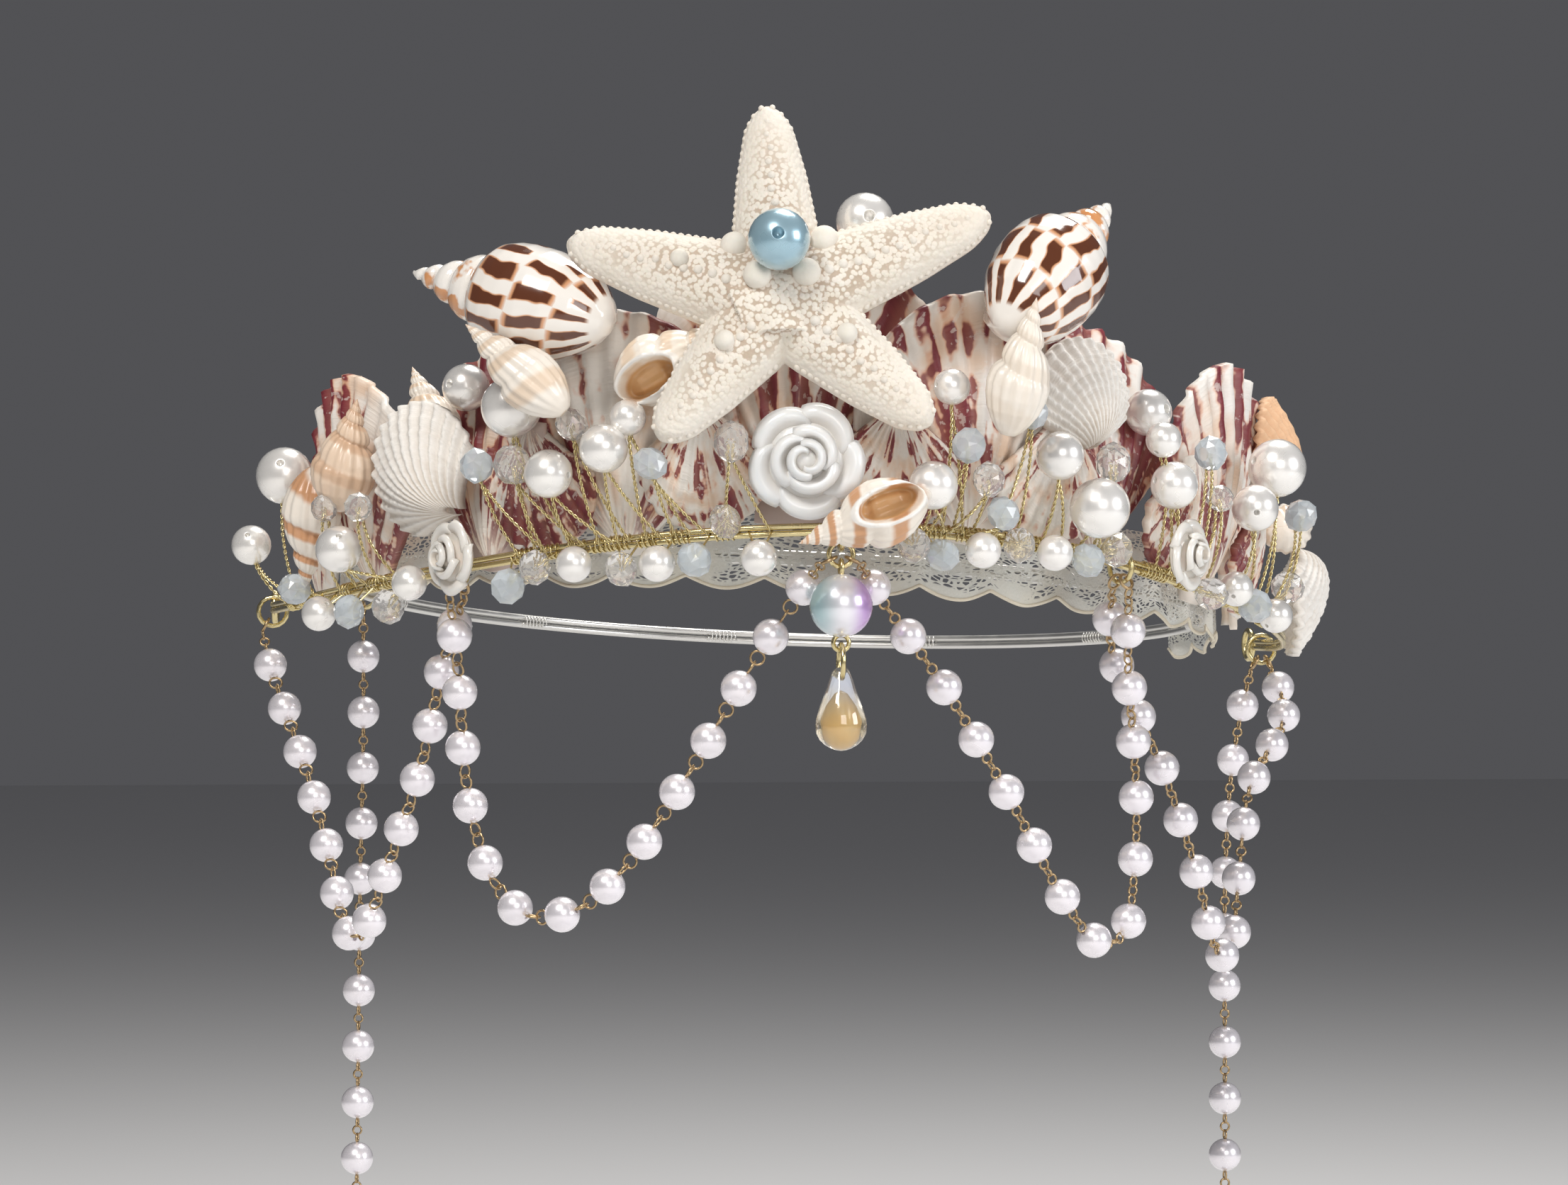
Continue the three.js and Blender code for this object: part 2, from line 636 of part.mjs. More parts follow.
function eyeOnWire(wirePoint, away, along) {
  const center = wirePoint.clone().addScaledVector(away, EYE_RADIUS - EYE_WIRE - RING_WIRE - TOUCHING_GAP);
  const leave = center.clone().addScaledVector(away, EYE_RADIUS);
  return { geometry: loop(center, along, EYE_RADIUS, EYE_WIRE), leave };
}

const TOP_RING_HEIGHT = RAIL_FRONT_HEIGHT + RAIL_RADIUS + TOUCHING_GAP + RING_WIRE - RING_RADIUS;
const HANGER_HEIGHT = TOP_RING_HEIGHT - RING_RADIUS + 2 * RING_WIRE + TOUCHING_GAP - HANGER_RADIUS;
const HANGER_Y = ovalPoint(0, RAIL_OUT, 0).y;

// An eye on the hanger ring, which stands across the front: `bearing` runs round from its right side.
function eyeOnHanger(bearing) {
  const away = new THREE.Vector3(Math.cos(bearing * DEG), 0, Math.sin(bearing * DEG));
  const along = new THREE.Vector3(-away.z, 0, away.x);
  const middle = new THREE.Vector3(PENDANT_X, HANGER_Y, HANGER_HEIGHT);
  return eyeOnWire(middle.addScaledVector(away, HANGER_RADIUS), away, along);
}

// Each strand's route by hand: angle round the crown, distance out from the head oval, and height.
const STRANDS = [
  {
    name: "swag_front_left",
    pearls: 14,
    start: eyeOnHanger(205),
    end: eyeOnRing("ring_left", EYE_SPLAY),
    route: [
      { angle: -5.2, out: 8, height: 6 },
      { angle: -11.4, out: 6, height: -8 },
      { angle: -18.5, out: 5, height: -25 },
      { angle: -26.5, out: 5, height: -41 },
      { angle: -32, out: 5, height: -47 },
      { angle: -38.5, out: 5, height: -48 },
      { angle: -43.5, out: 5, height: -42 },
      { angle: -46.5, out: 6, height: -28 },
      { angle: -44.5, out: 12, height: -6 },
    ],
  },
  {
    name: "swag_front_right",
    pearls: 14,
    start: eyeOnHanger(335),
    end: eyeOnRing("ring_right", EYE_SPLAY),
    route: [
      { angle: 3, out: 8, height: 6 },
      { angle: 11, out: 6, height: -9 },
      { angle: 19.5, out: 5, height: -27 },
      { angle: 27.5, out: 5, height: -45 },
      { angle: 33, out: 5, height: -53 },
      { angle: 37.5, out: 5, height: -52 },
      { angle: 39.5, out: 5, height: -42 },
      { angle: 39, out: 6, height: -28 },
      { angle: 33, out: 12.5, height: -6 },
    ],
  },
  {
    name: "swag_side_left",
    start: eyeOnRing("ring_left", -EYE_SPLAY),
    end: eyeOnRing("ring_end_left", EYE_SPLAY),
    route: [
      { angle: -49, out: 8, height: -6 },
      { angle: -54, out: 7, height: -25 },
      { angle: -60, out: 7, height: -41 },
      { angle: -66, out: 7, height: -53 },
      { angle: -70.5, out: 7, height: -53 },
      { angle: -76, out: 7, height: -42 },
      { angle: -82, out: 9, height: -27 },
      { angle: -90, out: 14, height: -9 },
    ],
  },
  {
    name: "swag_side_right",
    start: eyeOnRing("ring_right", -EYE_SPLAY),
    end: eyeOnRing("ring_end_right", EYE_SPLAY),
    route: [
      { angle: 35.5, out: 5, height: -4 },
      { angle: 45, out: 6, height: -26 },
      { angle: 51, out: 7, height: -42 },
      { angle: 57, out: 7, height: -56 },
      { angle: 63, out: 7, height: -57 },
      { angle: 68, out: 7, height: -45 },
      { angle: 73, out: 8, height: -30 },
      { angle: 84, out: 15, height: -17 },
    ],
  },
  {
    name: "strand_long_left",
    start: eyeOnRing("ring_rear_left", 0),
    route: [
      { angle: -107, out: 0, height: -5 },
      { angle: -107, out: 0, height: -20 },
      { angle: -108, out: 1, height: -50 },
      { angle: -107, out: 1, height: -80 },
      { angle: -106, out: 1, height: -109 },
    ],
  },
  {
    name: "strand_long_right",
    start: eyeOnRing("ring_end_right", -EYE_SPLAY),
    route: [
      { angle: 95, out: 11, height: -17 },
      { angle: 96, out: 9.5, height: -30 },
      { angle: 96, out: 8.5, height: -50 },
      { angle: 96, out: 8.5, height: -80 },
      { angle: 96, out: 8.5, height: -109 },
    ],
  },
];

// Rings of one pearl along the strand: distance from its middle, and radius.
const STRAND_PEARL_RINGS = [
  { at: -2.9, radius: STRAND_NECK_RADIUS },
  { at: -1.3, radius: STRAND_PEARL_RADIUS * 0.92 },
  { at: 1.3, radius: STRAND_PEARL_RADIUS * 0.92 },
  { at: 2.9, radius: STRAND_NECK_RADIUS },
];

// A string of pearls as one closed skin along a curve.
function pearlString(curve, pearls) {
  const length = curve.getLength();
  const pitch = (length - 2 * STRAND_LEAD) / (pearls - 1);
  const rings = [{ at: 0, radius: STRAND_NECK_RADIUS }];
  for (let i = 0; i < pearls; i++) {
    STRAND_PEARL_RINGS.forEach(({ at, radius }) => rings.push({ at: STRAND_LEAD + i * pitch + at, radius }));
  }
  rings.push({ at: length, radius: STRAND_NECK_RADIUS });
  const places = [];
  const index = [];
  const id = (ring, side) => ring * BEAD_SIDES + (side % BEAD_SIDES);
  for (const { at, radius } of rings) {
    const middle = curve.getPointAt(at / length);
    const along = curve.getTangentAt(at / length);
    const outward = new THREE.Vector3(middle.x / HEAD_HALF_WIDTH ** 2, middle.y / HEAD_HALF_DEPTH ** 2, 0);
    const across = outward.cross(along).normalize();
    const third = along.clone().cross(across);
    for (let side = 0; side < BEAD_SIDES; side++) {
      const turn = (2 * Math.PI * side) / BEAD_SIDES;
      const point = middle.clone().addScaledVector(across, radius * Math.cos(turn));
      places.push(...point.addScaledVector(third, radius * Math.sin(turn)).toArray());
    }
  }
  const first = places.length / 3;
  places.push(...curve.getPointAt(0).toArray(), ...curve.getPointAt(1).toArray());
  for (let side = 0; side < BEAD_SIDES; side++) {
    index.push(first, id(0, side + 1), id(0, side));
    index.push(first + 1, id(rings.length - 1, side), id(rings.length - 1, side + 1));
    for (let ring = 0; ring < rings.length - 1; ring++) {
      index.push(id(ring, side), id(ring, side + 1), id(ring + 1, side + 1));
      index.push(id(ring, side), id(ring + 1, side + 1), id(ring + 1, side));
    }
  }
  const geometry = new THREE.BufferGeometry();
  geometry.setAttribute("position", new THREE.Float32BufferAttribute(places, 3));
  geometry.setIndex(index);
  return geometry;
}

function smooth(points) {
  return new THREE.CatmullRomCurve3(points, false, "centripetal");
}

function addStrands() {
  for (const { name, pearls, start, end, route } of STRANDS) {
    const eyes = end ? [start, end] : [start];
    const points = route.map(({ angle, out, height }) => ovalPoint(angle, out, height));
    const pieces = eyes.map(({ geometry }) => geometry);
    if (pearls) {
      const curve = smooth([start.leave, ...points, end.leave]);
      pieces.unshift(pearlString(curve, pearls));
    } else {
      const curve = smooth(points);
      const steps = Math.round(curve.getLength() / TUBE_STEP);
      pieces.unshift(wire(curve, STRAND_PEARL_RADIUS, TUBE_SIDES, steps));
      const ends = [points[0], points[points.length - 1]];
      eyes.forEach(({ leave }, i) => {
        const neck = new THREE.LineCurve3(leave, ends[i]);
        pieces.push(wire(neck, STRAND_NECK_RADIUS, 5, 1));
      });
    }
    add(name, fused(pieces), PEARL);
  }
}

// Pendant: a ring over the rail, a hanger ring, a pearl with an eye at each end, and a glass drop.

function addPendant() {
  const front = new THREE.Vector3(PENDANT_X, HANGER_Y, 0);
  const at = (height) => front.clone().setZ(height);
  const sideways = new THREE.Vector3(1, 0, 0);
  const forward = new THREE.Vector3(0, 1, 0);
  add("ring_centre", closed(loop(at(TOP_RING_HEIGHT), sideways, RING_RADIUS, RING_WIRE)), GOLD);
  add("hanger_ring", closed(loop(at(HANGER_HEIGHT), forward, HANGER_RADIUS, RING_WIRE)), GOLD);

  const swing = HANGER_HEIGHT - HANGER_RADIUS;
  const topEye = swing + RING_WIRE + EYE_WIRE + TOUCHING_GAP - EYE_RADIUS;
  const middle = topEye - EYE_RADIUS - PENDANT_PEARL_RADIUS + EYE_WIRE;
  const lowEye = middle - PENDANT_PEARL_RADIUS - EYE_RADIUS + EYE_WIRE;
  const ball = new THREE.SphereGeometry(PENDANT_PEARL_RADIUS, 12, 8).translate(PENDANT_X, HANGER_Y, middle);
  const eyes = [
    loop(at(topEye), sideways, EYE_RADIUS, EYE_WIRE),
    loop(at(lowEye), forward, EYE_RADIUS, EYE_WIRE),
  ];
  add("pendant_pearl", fused([ball, ...eyes]), TWO_TONE);

  const dropSwing = lowEye - EYE_RADIUS + EYE_WIRE + TOUCHING_GAP + RING_WIRE;
  const dropRing = dropSwing - DROP_RING_RADIUS;
  add("drop_ring", closed(loop(at(dropRing), sideways, DROP_RING_RADIUS, RING_WIRE)), GOLD);
  const hole = dropRing - DROP_RING_RADIUS + RING_WIRE + DROP_HOLE_PLAY - DROP_HOLE_RADIUS;
  add("glass_drop", glassDrop(at(hole)), GLASS);
}

// Outline of the drop: how far below its top, as a share of its length, and its radius.
const DROP_PROFILE = [
  { below: 0, radius: 0 },
  { below: 0.02, radius: 1.1 },
  { below: 0.15, radius: 1.9 },
  { below: 0.4, radius: 3.1 },
  { below: 0.68, radius: 4.25 },
  { below: 0.86, radius: 3.6 },
  { below: 0.97, radius: 1.7 },
  { below: 1, radius: 0 },
];

function glassDrop(hole) {
  const outline = DROP_PROFILE.map((row) => new THREE.Vector2(row.radius, -row.below * DROP_LENGTH));
  const body = new THREE.LatheGeometry(outline, 12).rotateX(90 * DEG);
  body.translate(hole.x, hole.y, hole.z + DROP_HOLE_BELOW_TOP);
  const bore = new THREE.CylinderGeometry(DROP_HOLE_RADIUS, DROP_HOLE_RADIUS, 12, BEAD_SIDES);
  return cut(body, bore.translate(hole.x, hole.y, hole.z));
}

addHoop();
addLace();
addScallops();
addCockles();
addSpirals();
addStarfish();
addRoses();
addGluedPearls();
addRail();
addSprays();
addRings();
addStrands();
addPendant();

export default crown;
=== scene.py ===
# Looks of the seashell crown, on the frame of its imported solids. Metres, +Z up, the front faces -Y.
# Angles round the crown are in degrees from the front, positive towards +X.
import math

import bmesh
import bpy
import numpy as np
from mathutils import Matrix, Vector


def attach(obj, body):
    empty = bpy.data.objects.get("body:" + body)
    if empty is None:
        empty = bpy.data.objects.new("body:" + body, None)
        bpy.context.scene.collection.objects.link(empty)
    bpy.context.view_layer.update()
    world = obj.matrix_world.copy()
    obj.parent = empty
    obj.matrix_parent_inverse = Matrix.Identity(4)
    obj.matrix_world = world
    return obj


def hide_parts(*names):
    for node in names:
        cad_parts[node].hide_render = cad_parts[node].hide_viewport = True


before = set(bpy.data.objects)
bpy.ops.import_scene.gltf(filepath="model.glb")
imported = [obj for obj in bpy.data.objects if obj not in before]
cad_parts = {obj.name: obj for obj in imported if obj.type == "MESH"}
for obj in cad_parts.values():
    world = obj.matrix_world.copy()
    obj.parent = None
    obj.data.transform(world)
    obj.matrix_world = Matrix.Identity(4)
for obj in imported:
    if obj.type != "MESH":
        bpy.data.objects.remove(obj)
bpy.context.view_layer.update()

# Camera and light: a long lens, level with the head opening and a little to the left of the front,
# over a plain pale floor, with a soft key light, a front light, a side fill and one from above.
camera_data = bpy.data.cameras.new("camera")
camera_data.lens = 124.3
camera_data.sensor_width = 36
camera_data.clip_start = 0.01
camera_data.dof.use_dof = False
camera = bpy.data.objects.new("camera", camera_data)
camera.location = (-0.1184, -0.9759, 0.0057)
camera.rotation_euler = (math.radians(90), 0, math.radians(-7))
bpy.context.collection.objects.link(camera)
bpy.context.scene.camera = camera
bpy.context.scene.view_settings.view_transform = "Standard"

LIGHTS = (
    ("key", (-0.45, -0.75, 0.8), 0.35, 8.0, (1.0, 0.97, 0.94)),
    ("front", (0.1, -1.25, 0.35), 0.5, 3.6, (1.0, 0.98, 0.96)),
    ("fill", (0.85, -0.55, 0.25), 0.4, 4.2, (0.96, 0.97, 1.0)),
    ("top", (0.2, 0.3, 0.8), 0.4, 6.0, (1.0, 0.98, 0.95)),
)
for light_name, place, size, power, colour in LIGHTS:
    light_data = bpy.data.lights.new(light_name, "AREA")
    light_data.size = size
    light_data.energy = power
    light_data.color = colour
    light = bpy.data.objects.new(light_name, light_data)
    light.location = place
    light.rotation_euler = Vector(place).to_track_quat("Z", "Y").to_euler()
    bpy.context.collection.objects.link(light)

world = bpy.data.worlds.new("studio")
world.use_nodes = True
world.node_tree.nodes["Background"].inputs["Color"].default_value = (0.42, 0.42, 0.45, 1)
world.node_tree.nodes["Background"].inputs["Strength"].default_value = 0.2
bpy.context.scene.world = world


class Socket:
    """One output in a node tree, with the maths that shaders need."""

    def __init__(self, look, output):
        self.look = look
        self.output = output

    def maths(self, operation, first, second):
        return self.look.node("ShaderNodeMath", {"operation": operation}, {0: first, 1: second})

    def __add__(self, other):
        return self.maths("ADD", self, other)

    def __sub__(self, other):
        return self.maths("SUBTRACT", self, other)

    def __rsub__(self, other):
        return self.maths("SUBTRACT", other, self)

    def __mul__(self, other):
        return self.maths("MULTIPLY", self, other)

    def __truediv__(self, other):
        return self.maths("DIVIDE", self, other)

    def __neg__(self):
        return self.maths("MULTIPLY", self, -1.0)

    __radd__ = __add__
    __rmul__ = __mul__


class Look:
    """A material with one principled shader."""

    def __init__(self, name, colour=(0.8, 0.8, 0.8), **settings):
        self.material = bpy.data.materials.new(name)
        self.material.use_nodes = True
        self.tree = self.material.node_tree
        self.shader = self.tree.nodes["Principled BSDF"]
        self.shader.inputs["Base Color"].default_value = (*colour, 1)
        for socket, value in settings.items():
            self.shader.inputs[socket.replace("_", " ")].default_value = value

    def node(self, kind, settings=None, inputs=None, output=0):
        made = self.tree.nodes.new(kind)
        for key, value in (settings or {}).items():
            setattr(made, key, value)
        for key, value in (inputs or {}).items():
            if isinstance(value, Socket):
                self.tree.links.new(value.output, made.inputs[key])
            elif isinstance(value, tuple) and len(made.inputs[key].default_value) == 4:
                made.inputs[key].default_value = (*value, 1)
            else:
                made.inputs[key].default_value = value
        return Socket(self, made.outputs[output])

    def set(self, socket, value):
        self.tree.links.new(value.output, self.shader.inputs[socket])
        return self

    def where(self):
        return self.node("ShaderNodeTexCoord", output=3)

    def spot(self, axis):
        vector = self.node("ShaderNodeAttribute", {"attribute_name": "spot"}, output=1)
        return self.node("ShaderNodeSeparateXYZ", inputs={0: vector}, output=axis)

    def vector(self, x, y, z):
        return self.node("ShaderNodeCombineXYZ", inputs={0: x, 1: y, 2: z})

    def noise(self, scale, detail=3.0, vector=None):
        settings = {"Vector": vector or self.where(), "Scale": scale, "Detail": detail}
        return self.node("ShaderNodeTexNoise", inputs=settings)

    def cells(self, scale, vector=None, feature="F1"):
        settings = {"Vector": vector or self.where(), "Scale": scale}
        return self.node("ShaderNodeTexVoronoi", {"feature": feature}, settings)

    def ramp(self, value, low, high):
        inputs = {0: value, 1: low, 2: high, 3: 0.0, 4: 1.0}
        return self.node("ShaderNodeMapRange", {"interpolation_type": "SMOOTHSTEP"}, inputs)

    def mix(self, factor, first, second):
        return self.node("ShaderNodeMix", {"data_type": "RGBA"}, {0: factor, 6: first, 7: second}, 2)

    def bump(self, height, strength, distance):
        inputs = {"Height": height, "Strength": strength, "Distance": distance}
        return self.set("Normal", self.node("ShaderNodeBump", inputs=inputs))


floor_look = Look("floor", (0.8, 0.8, 0.8), Roughness=0.9, Specular_IOR_Level=0.1)
floor_data = bpy.data.meshes.new("floor")
floor_data.from_pydata([(-4, -4, -0.17), (4, -4, -0.17), (4, 4, -0.17), (-4, 4, -0.17)], [], [[0, 1, 2, 3]])
floor_data.materials.append(floor_look.material)
floor = bpy.data.objects.new("floor", floor_data)
bpy.context.collection.objects.link(floor)

# Hoop: two bright silver wires, one above the other, bound with short turns of thinner wire.
# It rests on the head and everything else is carried by it.
MM = 0.001
HALF_WIDTH, HALF_DEPTH = 77 * MM, 90 * MM


class Form:
    """Grids of points gathered into one mesh, with a `spot` vector at each point for its shader."""

    def __init__(self):
        self.points = []
        self.spots = []
        self.faces = []
        self.count = 0

    def grid(self, points, spots=None, around=False):
        rows, columns = points.shape[:2]
        ids = self.count + np.arange(rows * columns).reshape(rows, columns)
        left = ids if around else ids[:, :-1]
        right = np.roll(ids, -1, 1) if around else ids[:, 1:]
        quads = np.stack([left[:-1], right[:-1], right[1:], left[1:]], -1)
        self.faces += quads.reshape(-1, 4).tolist()
        self.points.append(points.reshape(-1, 3))
        self.spots.append(np.zeros((rows * columns, 3)) if spots is None else spots.reshape(-1, 3))
        self.count += rows * columns
        return self

    def sweep(self, path, radius, sides=6, ring=False):
        """A round wire along a path, closed on itself where it is a ring."""
        path = np.asarray(path, float)
        along = np.gradient(path, axis=0)
        if ring:
            along = np.roll(path, -1, 0) - np.roll(path, 1, 0)
        along /= np.linalg.norm(along, axis=1)[:, None]
        across = np.zeros_like(path)
        guide = np.eye(3)[np.argmin(np.abs(along[0]))]
        for i, heading in enumerate(along):
            guide = guide - heading * (guide @ heading)
            guide = guide / np.linalg.norm(guide)
            across[i] = guide
        other = np.cross(along, across)
        turn = np.linspace(0, 2 * np.pi, sides, endpoint=False)
        reach = np.broadcast_to(radius, len(path))[:, None, None]
        section = across[:, None] * np.cos(turn)[None, :, None] + other[:, None] * np.sin(turn)[None, :, None]
        rings = path[:, None] + reach * section
        if ring:
            return self.grid(np.concatenate([rings, rings[:1]]), around=True)
        tips = [np.repeat(path[end][None, None], sides, 1) for end in (0, -1)]
        return self.grid(np.concatenate([tips[0], rings, tips[1]]), around=True)

    def loop(self, middle, axis, radius, wire):
        """A round link: a wire ring whose axis runs along `axis`."""
        axis = Vector(axis).normalized()
        first = axis.orthogonal().normalized()
        second = axis.cross(first)
        turn = np.linspace(0, 2 * np.pi, 16, endpoint=False)[:, None]
        path = np.array(middle) + radius * (np.cos(turn) * np.array(first) + np.sin(turn) * np.array(second))
        return self.sweep(path, wire, 6, True)

    def bead(self, middle, radius, axis=(0, 0, 1), drilled=True, hole=0.13, sides=24):
        """A round bead with a drilled hole at each end of its axis."""
        turn = np.linspace(0, 2 * np.pi, sides, endpoint=False)[None]
        fall = np.linspace(0.001, np.pi - 0.001, sides * 2 // 3 + 1)
        if drilled:
            fall = np.concatenate([[hole, hole + 0.03], np.linspace(hole + 0.15, np.pi - hole - 0.15, 14),
                                   [np.pi - hole - 0.03, np.pi - hole]])
        reach, rise = np.sin(fall), np.cos(fall)
        if drilled:
            inner = np.array([0.01, 0.9, 0.96]) * math.sin(hole)
            depth = np.array([0.62, 0.64, 0.96]) * math.cos(hole)
            reach = np.concatenate([inner, reach, inner[::-1]])
            rise = np.concatenate([depth, rise, -depth[::-1]])
        reach, rise = reach[:, None], rise[:, None]
        rings = np.stack([reach * np.cos(turn), reach * np.sin(turn), rise + 0 * turn], -1)
        spin = np.array(Vector((0, 0, 1)).rotation_difference(Vector(axis)).to_matrix())
        points = np.array(middle) + radius * rings @ spin.T
        return self.grid(points, spots=rings, around=True)

    def stone(self, middle, size, axis, sides=9):
        """A cut bead: tables, then staggered rows of flat facets."""
        rows = ((0.4, 0.0), (0.4, 0.2), (0.27, 0.4), (0.0, 0.52), (-0.27, 0.4), (-0.4, 0.2), (-0.4, 0.0))
        spin = np.array(Vector((0, 0, 1)).rotation_difference(Vector(axis)).to_matrix())
        start = self.count
        points = []
        for i, (rise, reach) in enumerate(rows):
            turn = np.linspace(0, 2 * np.pi, sides, endpoint=False) + (i % 2) * np.pi / sides
            points.append(np.stack([reach * np.cos(turn), reach * np.sin(turn), rise + 0 * turn], -1))
        for i in range(len(rows) - 1):
            for k in range(sides):
                a, b = start + i * sides + k, start + i * sides + (k + 1) % sides
                c, d = a + sides, b + sides
                self.faces += [[a, b, c], [b, d, c]] if i % 2 == 0 else [[a, b, d], [a, d, c]]
        points = np.array(middle) + size * np.concatenate(points) @ spin.T
        self.points.append(points)
        self.spots.append(np.zeros_like(points))
        self.count += len(points)
        return self

    def piece(self, name, look, slot, nodes=(), body="crown", place=None, smooth=True):
        data = bpy.data.meshes.new(name)
        data.from_pydata(np.concatenate(self.points).tolist(), [], self.faces)
        spots = data.attributes.new("spot", "FLOAT_VECTOR", "POINT")
        spots.data.foreach_set("vector", np.concatenate(self.spots).ravel())
        if place is not None:
            data.transform(place)
        work = bmesh.new()
        work.from_mesh(data)
        bmesh.ops.remove_doubles(work, verts=work.verts, dist=1e-7)
        bmesh.ops.recalc_face_normals(work, faces=work.faces)
        work.to_mesh(data)
        work.free()
        data.polygons.foreach_set("use_smooth", [smooth] * len(data.polygons))
        data.materials.append(look.material)
        made = bpy.data.objects.new(name, data)
        bpy.context.collection.objects.link(made)
        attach(made, body)
        if nodes:
            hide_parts(*nodes)
        return made


def oval(angle, out, height):
    turn = np.radians(angle)
    x = (HALF_WIDTH + out * MM) * np.sin(turn)
    return np.stack([x, -(HALF_DEPTH + out * MM) * np.cos(turn), height * MM + 0 * x], -1)


def heading(angle):
    turn = math.radians(angle)
    return math.atan2(math.sin(turn) / HALF_WIDTH, math.cos(turn) / HALF_DEPTH)


def outward(angle):
    return np.array([math.sin(heading(angle)), -math.cos(heading(angle)), 0])


def hoop_height(angle):
    turn = np.radians(angle)
    return 4 + 7 * np.cos(turn) - 4 * np.sin(turn)


def helix(path, reach, turns, start=0.0, samples=14):
    """A path wound round another one."""
    path = np.asarray(path, float)
    share = np.linspace(0, 1, int(turns * samples) + 2)
    spine = np.stack([np.interp(share, np.linspace(0, 1, len(path)), path[:, k]) for k in range(3)], -1)
    along = np.gradient(spine, axis=0)
    along /= np.linalg.norm(along, axis=1)[:, None]
    across = np.cross(along, along[0][[1, 2, 0]] + (0.31, 0.17, 0.11))
    across /= np.linalg.norm(across, axis=1)[:, None]
    other = np.cross(along, across)
    turn = (start + share * turns * 2 * np.pi)[:, None]
    return spine + reach * (np.cos(turn) * across + np.sin(turn) * other)


silver = Look("silver", (0.76, 0.75, 0.72), Metallic=1.0)
silver.set("Roughness", 0.28 + 0.2 * silver.noise(400.0))
hoop = Form()
around = np.linspace(-180, 180, 180, endpoint=False)
for lift in (-0.68, 0.68):
    hoop.sweep(oval(around, 0, hoop_height(around) + lift), 0.62 * MM, 8, True)
for middle in range(-150, 181, 30):
    bound = np.linspace(middle - 2, middle + 2, 8)
    hoop.sweep(helix(oval(bound, 0, hoop_height(bound)), 1.05 * MM, 7), 0.16 * MM, 5)
hoop.piece("hoop_wires", silver, "silver_wire", ["hoop"])

# Lace: an ivory cotton band with a scalloped lower edge, open net with small flowers and a corded rim.
# It is sewn to the hoop and shows below the shells.
LACE_REACH, LACE_SCALLOPS = 104, 22


def lace_point(across, along, face):
    angle = (2 * across - 1) * LACE_REACH
    dip = np.abs(np.sin(np.pi * across * LACE_SCALLOPS))
    bottom = -3.3 - 2.0 * dip
    ripple = 0.35 * np.sin(across * 190) * (1 - along)
    return oval(angle, 1.5 + 0.5 * face + ripple, hoop_height(angle) + bottom + along * (9.8 - bottom))


lace_look = Look("lace", Roughness=0.9, Sheen_Weight=0.3)
lace_across = lace_look.spot(0) * float(LACE_SCALLOPS)
lace_along = lace_look.spot(1) * 3.2
lace_plane = lace_look.vector(lace_across * 2.0, lace_along * 2.0, 0.0)
flowers = 1.0 - lace_look.ramp(lace_look.cells(0.62, lace_plane), 0.36, 0.44)
net = 1.0 - lace_look.ramp(lace_look.cells(4.6, lace_plane, "DISTANCE_TO_EDGE"), 0.13, 0.19)
rim = 1.0 - lace_look.ramp(lace_look.spot(1), 0.05, 0.09)
solid_lace = lace_look.node("ShaderNodeMath", {"operation": "MAXIMUM"}, {0: flowers, 1: net})
solid_lace = lace_look.node("ShaderNodeMath", {"operation": "MAXIMUM"}, {0: solid_lace, 1: rim})
lace_look.set("Alpha", solid_lace)
lace_look.set("Base Color", lace_look.mix(lace_look.noise(90.0), (0.74, 0.68, 0.55), (0.62, 0.68, 0.7)))
lace_look.bump(lace_look.noise(2600.0, 2.0), 0.5, 0.0003)
across, along = np.meshgrid(np.linspace(0, 1, 881), np.linspace(0, 1, 13))
lace_spots = np.stack([across, along, 0 * across], -1)
lace_points = lace_point(across, along, 0.5)
lace = Form().grid(lace_points, lace_spots).piece("lace_band", lace_look, "lace", ["lace_trim"])
cord_look = Look("lace_cord", (0.72, 0.66, 0.53), Roughness=0.85)
cord_look.bump(cord_look.noise(1800.0, 2.0), 0.6, 0.0003)
rim_path = lace_point(np.linspace(0, 1, 660), 0.0, 0.5)
lace_cord = Form().sweep(rim_path, 0.32 * MM, 5).piece("lace_cord", cord_look, "lace")

# Scallop shells: thin ribbed fans, cream with maroon rays and blotches, glued hinge down round the hoop.
# Every second one leans out over its neighbours, and small ones lie hinge up over the gaps.
SCALLOPS = (
    ("scallop_1", -87, 3, 33, -2, 0.35), ("scallop_2", -64, 6, 38, 11, 0.5), ("scallop_3", -43, 9, 38, -4, 0.75),
    ("scallop_4", -25, 12, 41, 11, 0.45), ("scallop_5", -6, 16, 50, -4, 0.6), ("scallop_6", 14, 14, 42, 11, 0.5),
    ("scallop_7", 32, 10, 41, -4, 0.7), ("scallop_8", 52, 4, 42, 11, 0.55), ("scallop_9", 75, -1, 34, -2, 0.3),
)
LOW_SCALLOPS = (
    ("scallop_10", -34, 14, 34, 22, 0.7), ("scallop_11", -15.5, 14.5, 37, 22, 0.4),
    ("scallop_12", 4.5, 14, 37, 22, 0.5), ("scallop_13", 23, 14, 35, 22, 0.35),
    ("scallop_14", 42, 14.5, 29, 22, 0.65), ("scallop_15", 62, 12, 21, 20, 0.5),
)


def station(angle, out, height, lean=0, swing=0, turn=0):
    """Where a piece stands: its own X along the crown, Y up and Z outwards."""
    upright = Matrix.Rotation(heading(angle), 4, "Z") @ Matrix.Rotation(math.pi / 2, 4, "X")
    own = Matrix.Rotation(math.radians(swing), 4, "Y") @ Matrix.Rotation(math.radians(lean), 4, "X")
    own = own @ Matrix.Rotation(math.radians(turn), 4, "Z")
    return Matrix.Translation(Vector(oval(angle, out, height))) @ upright @ own


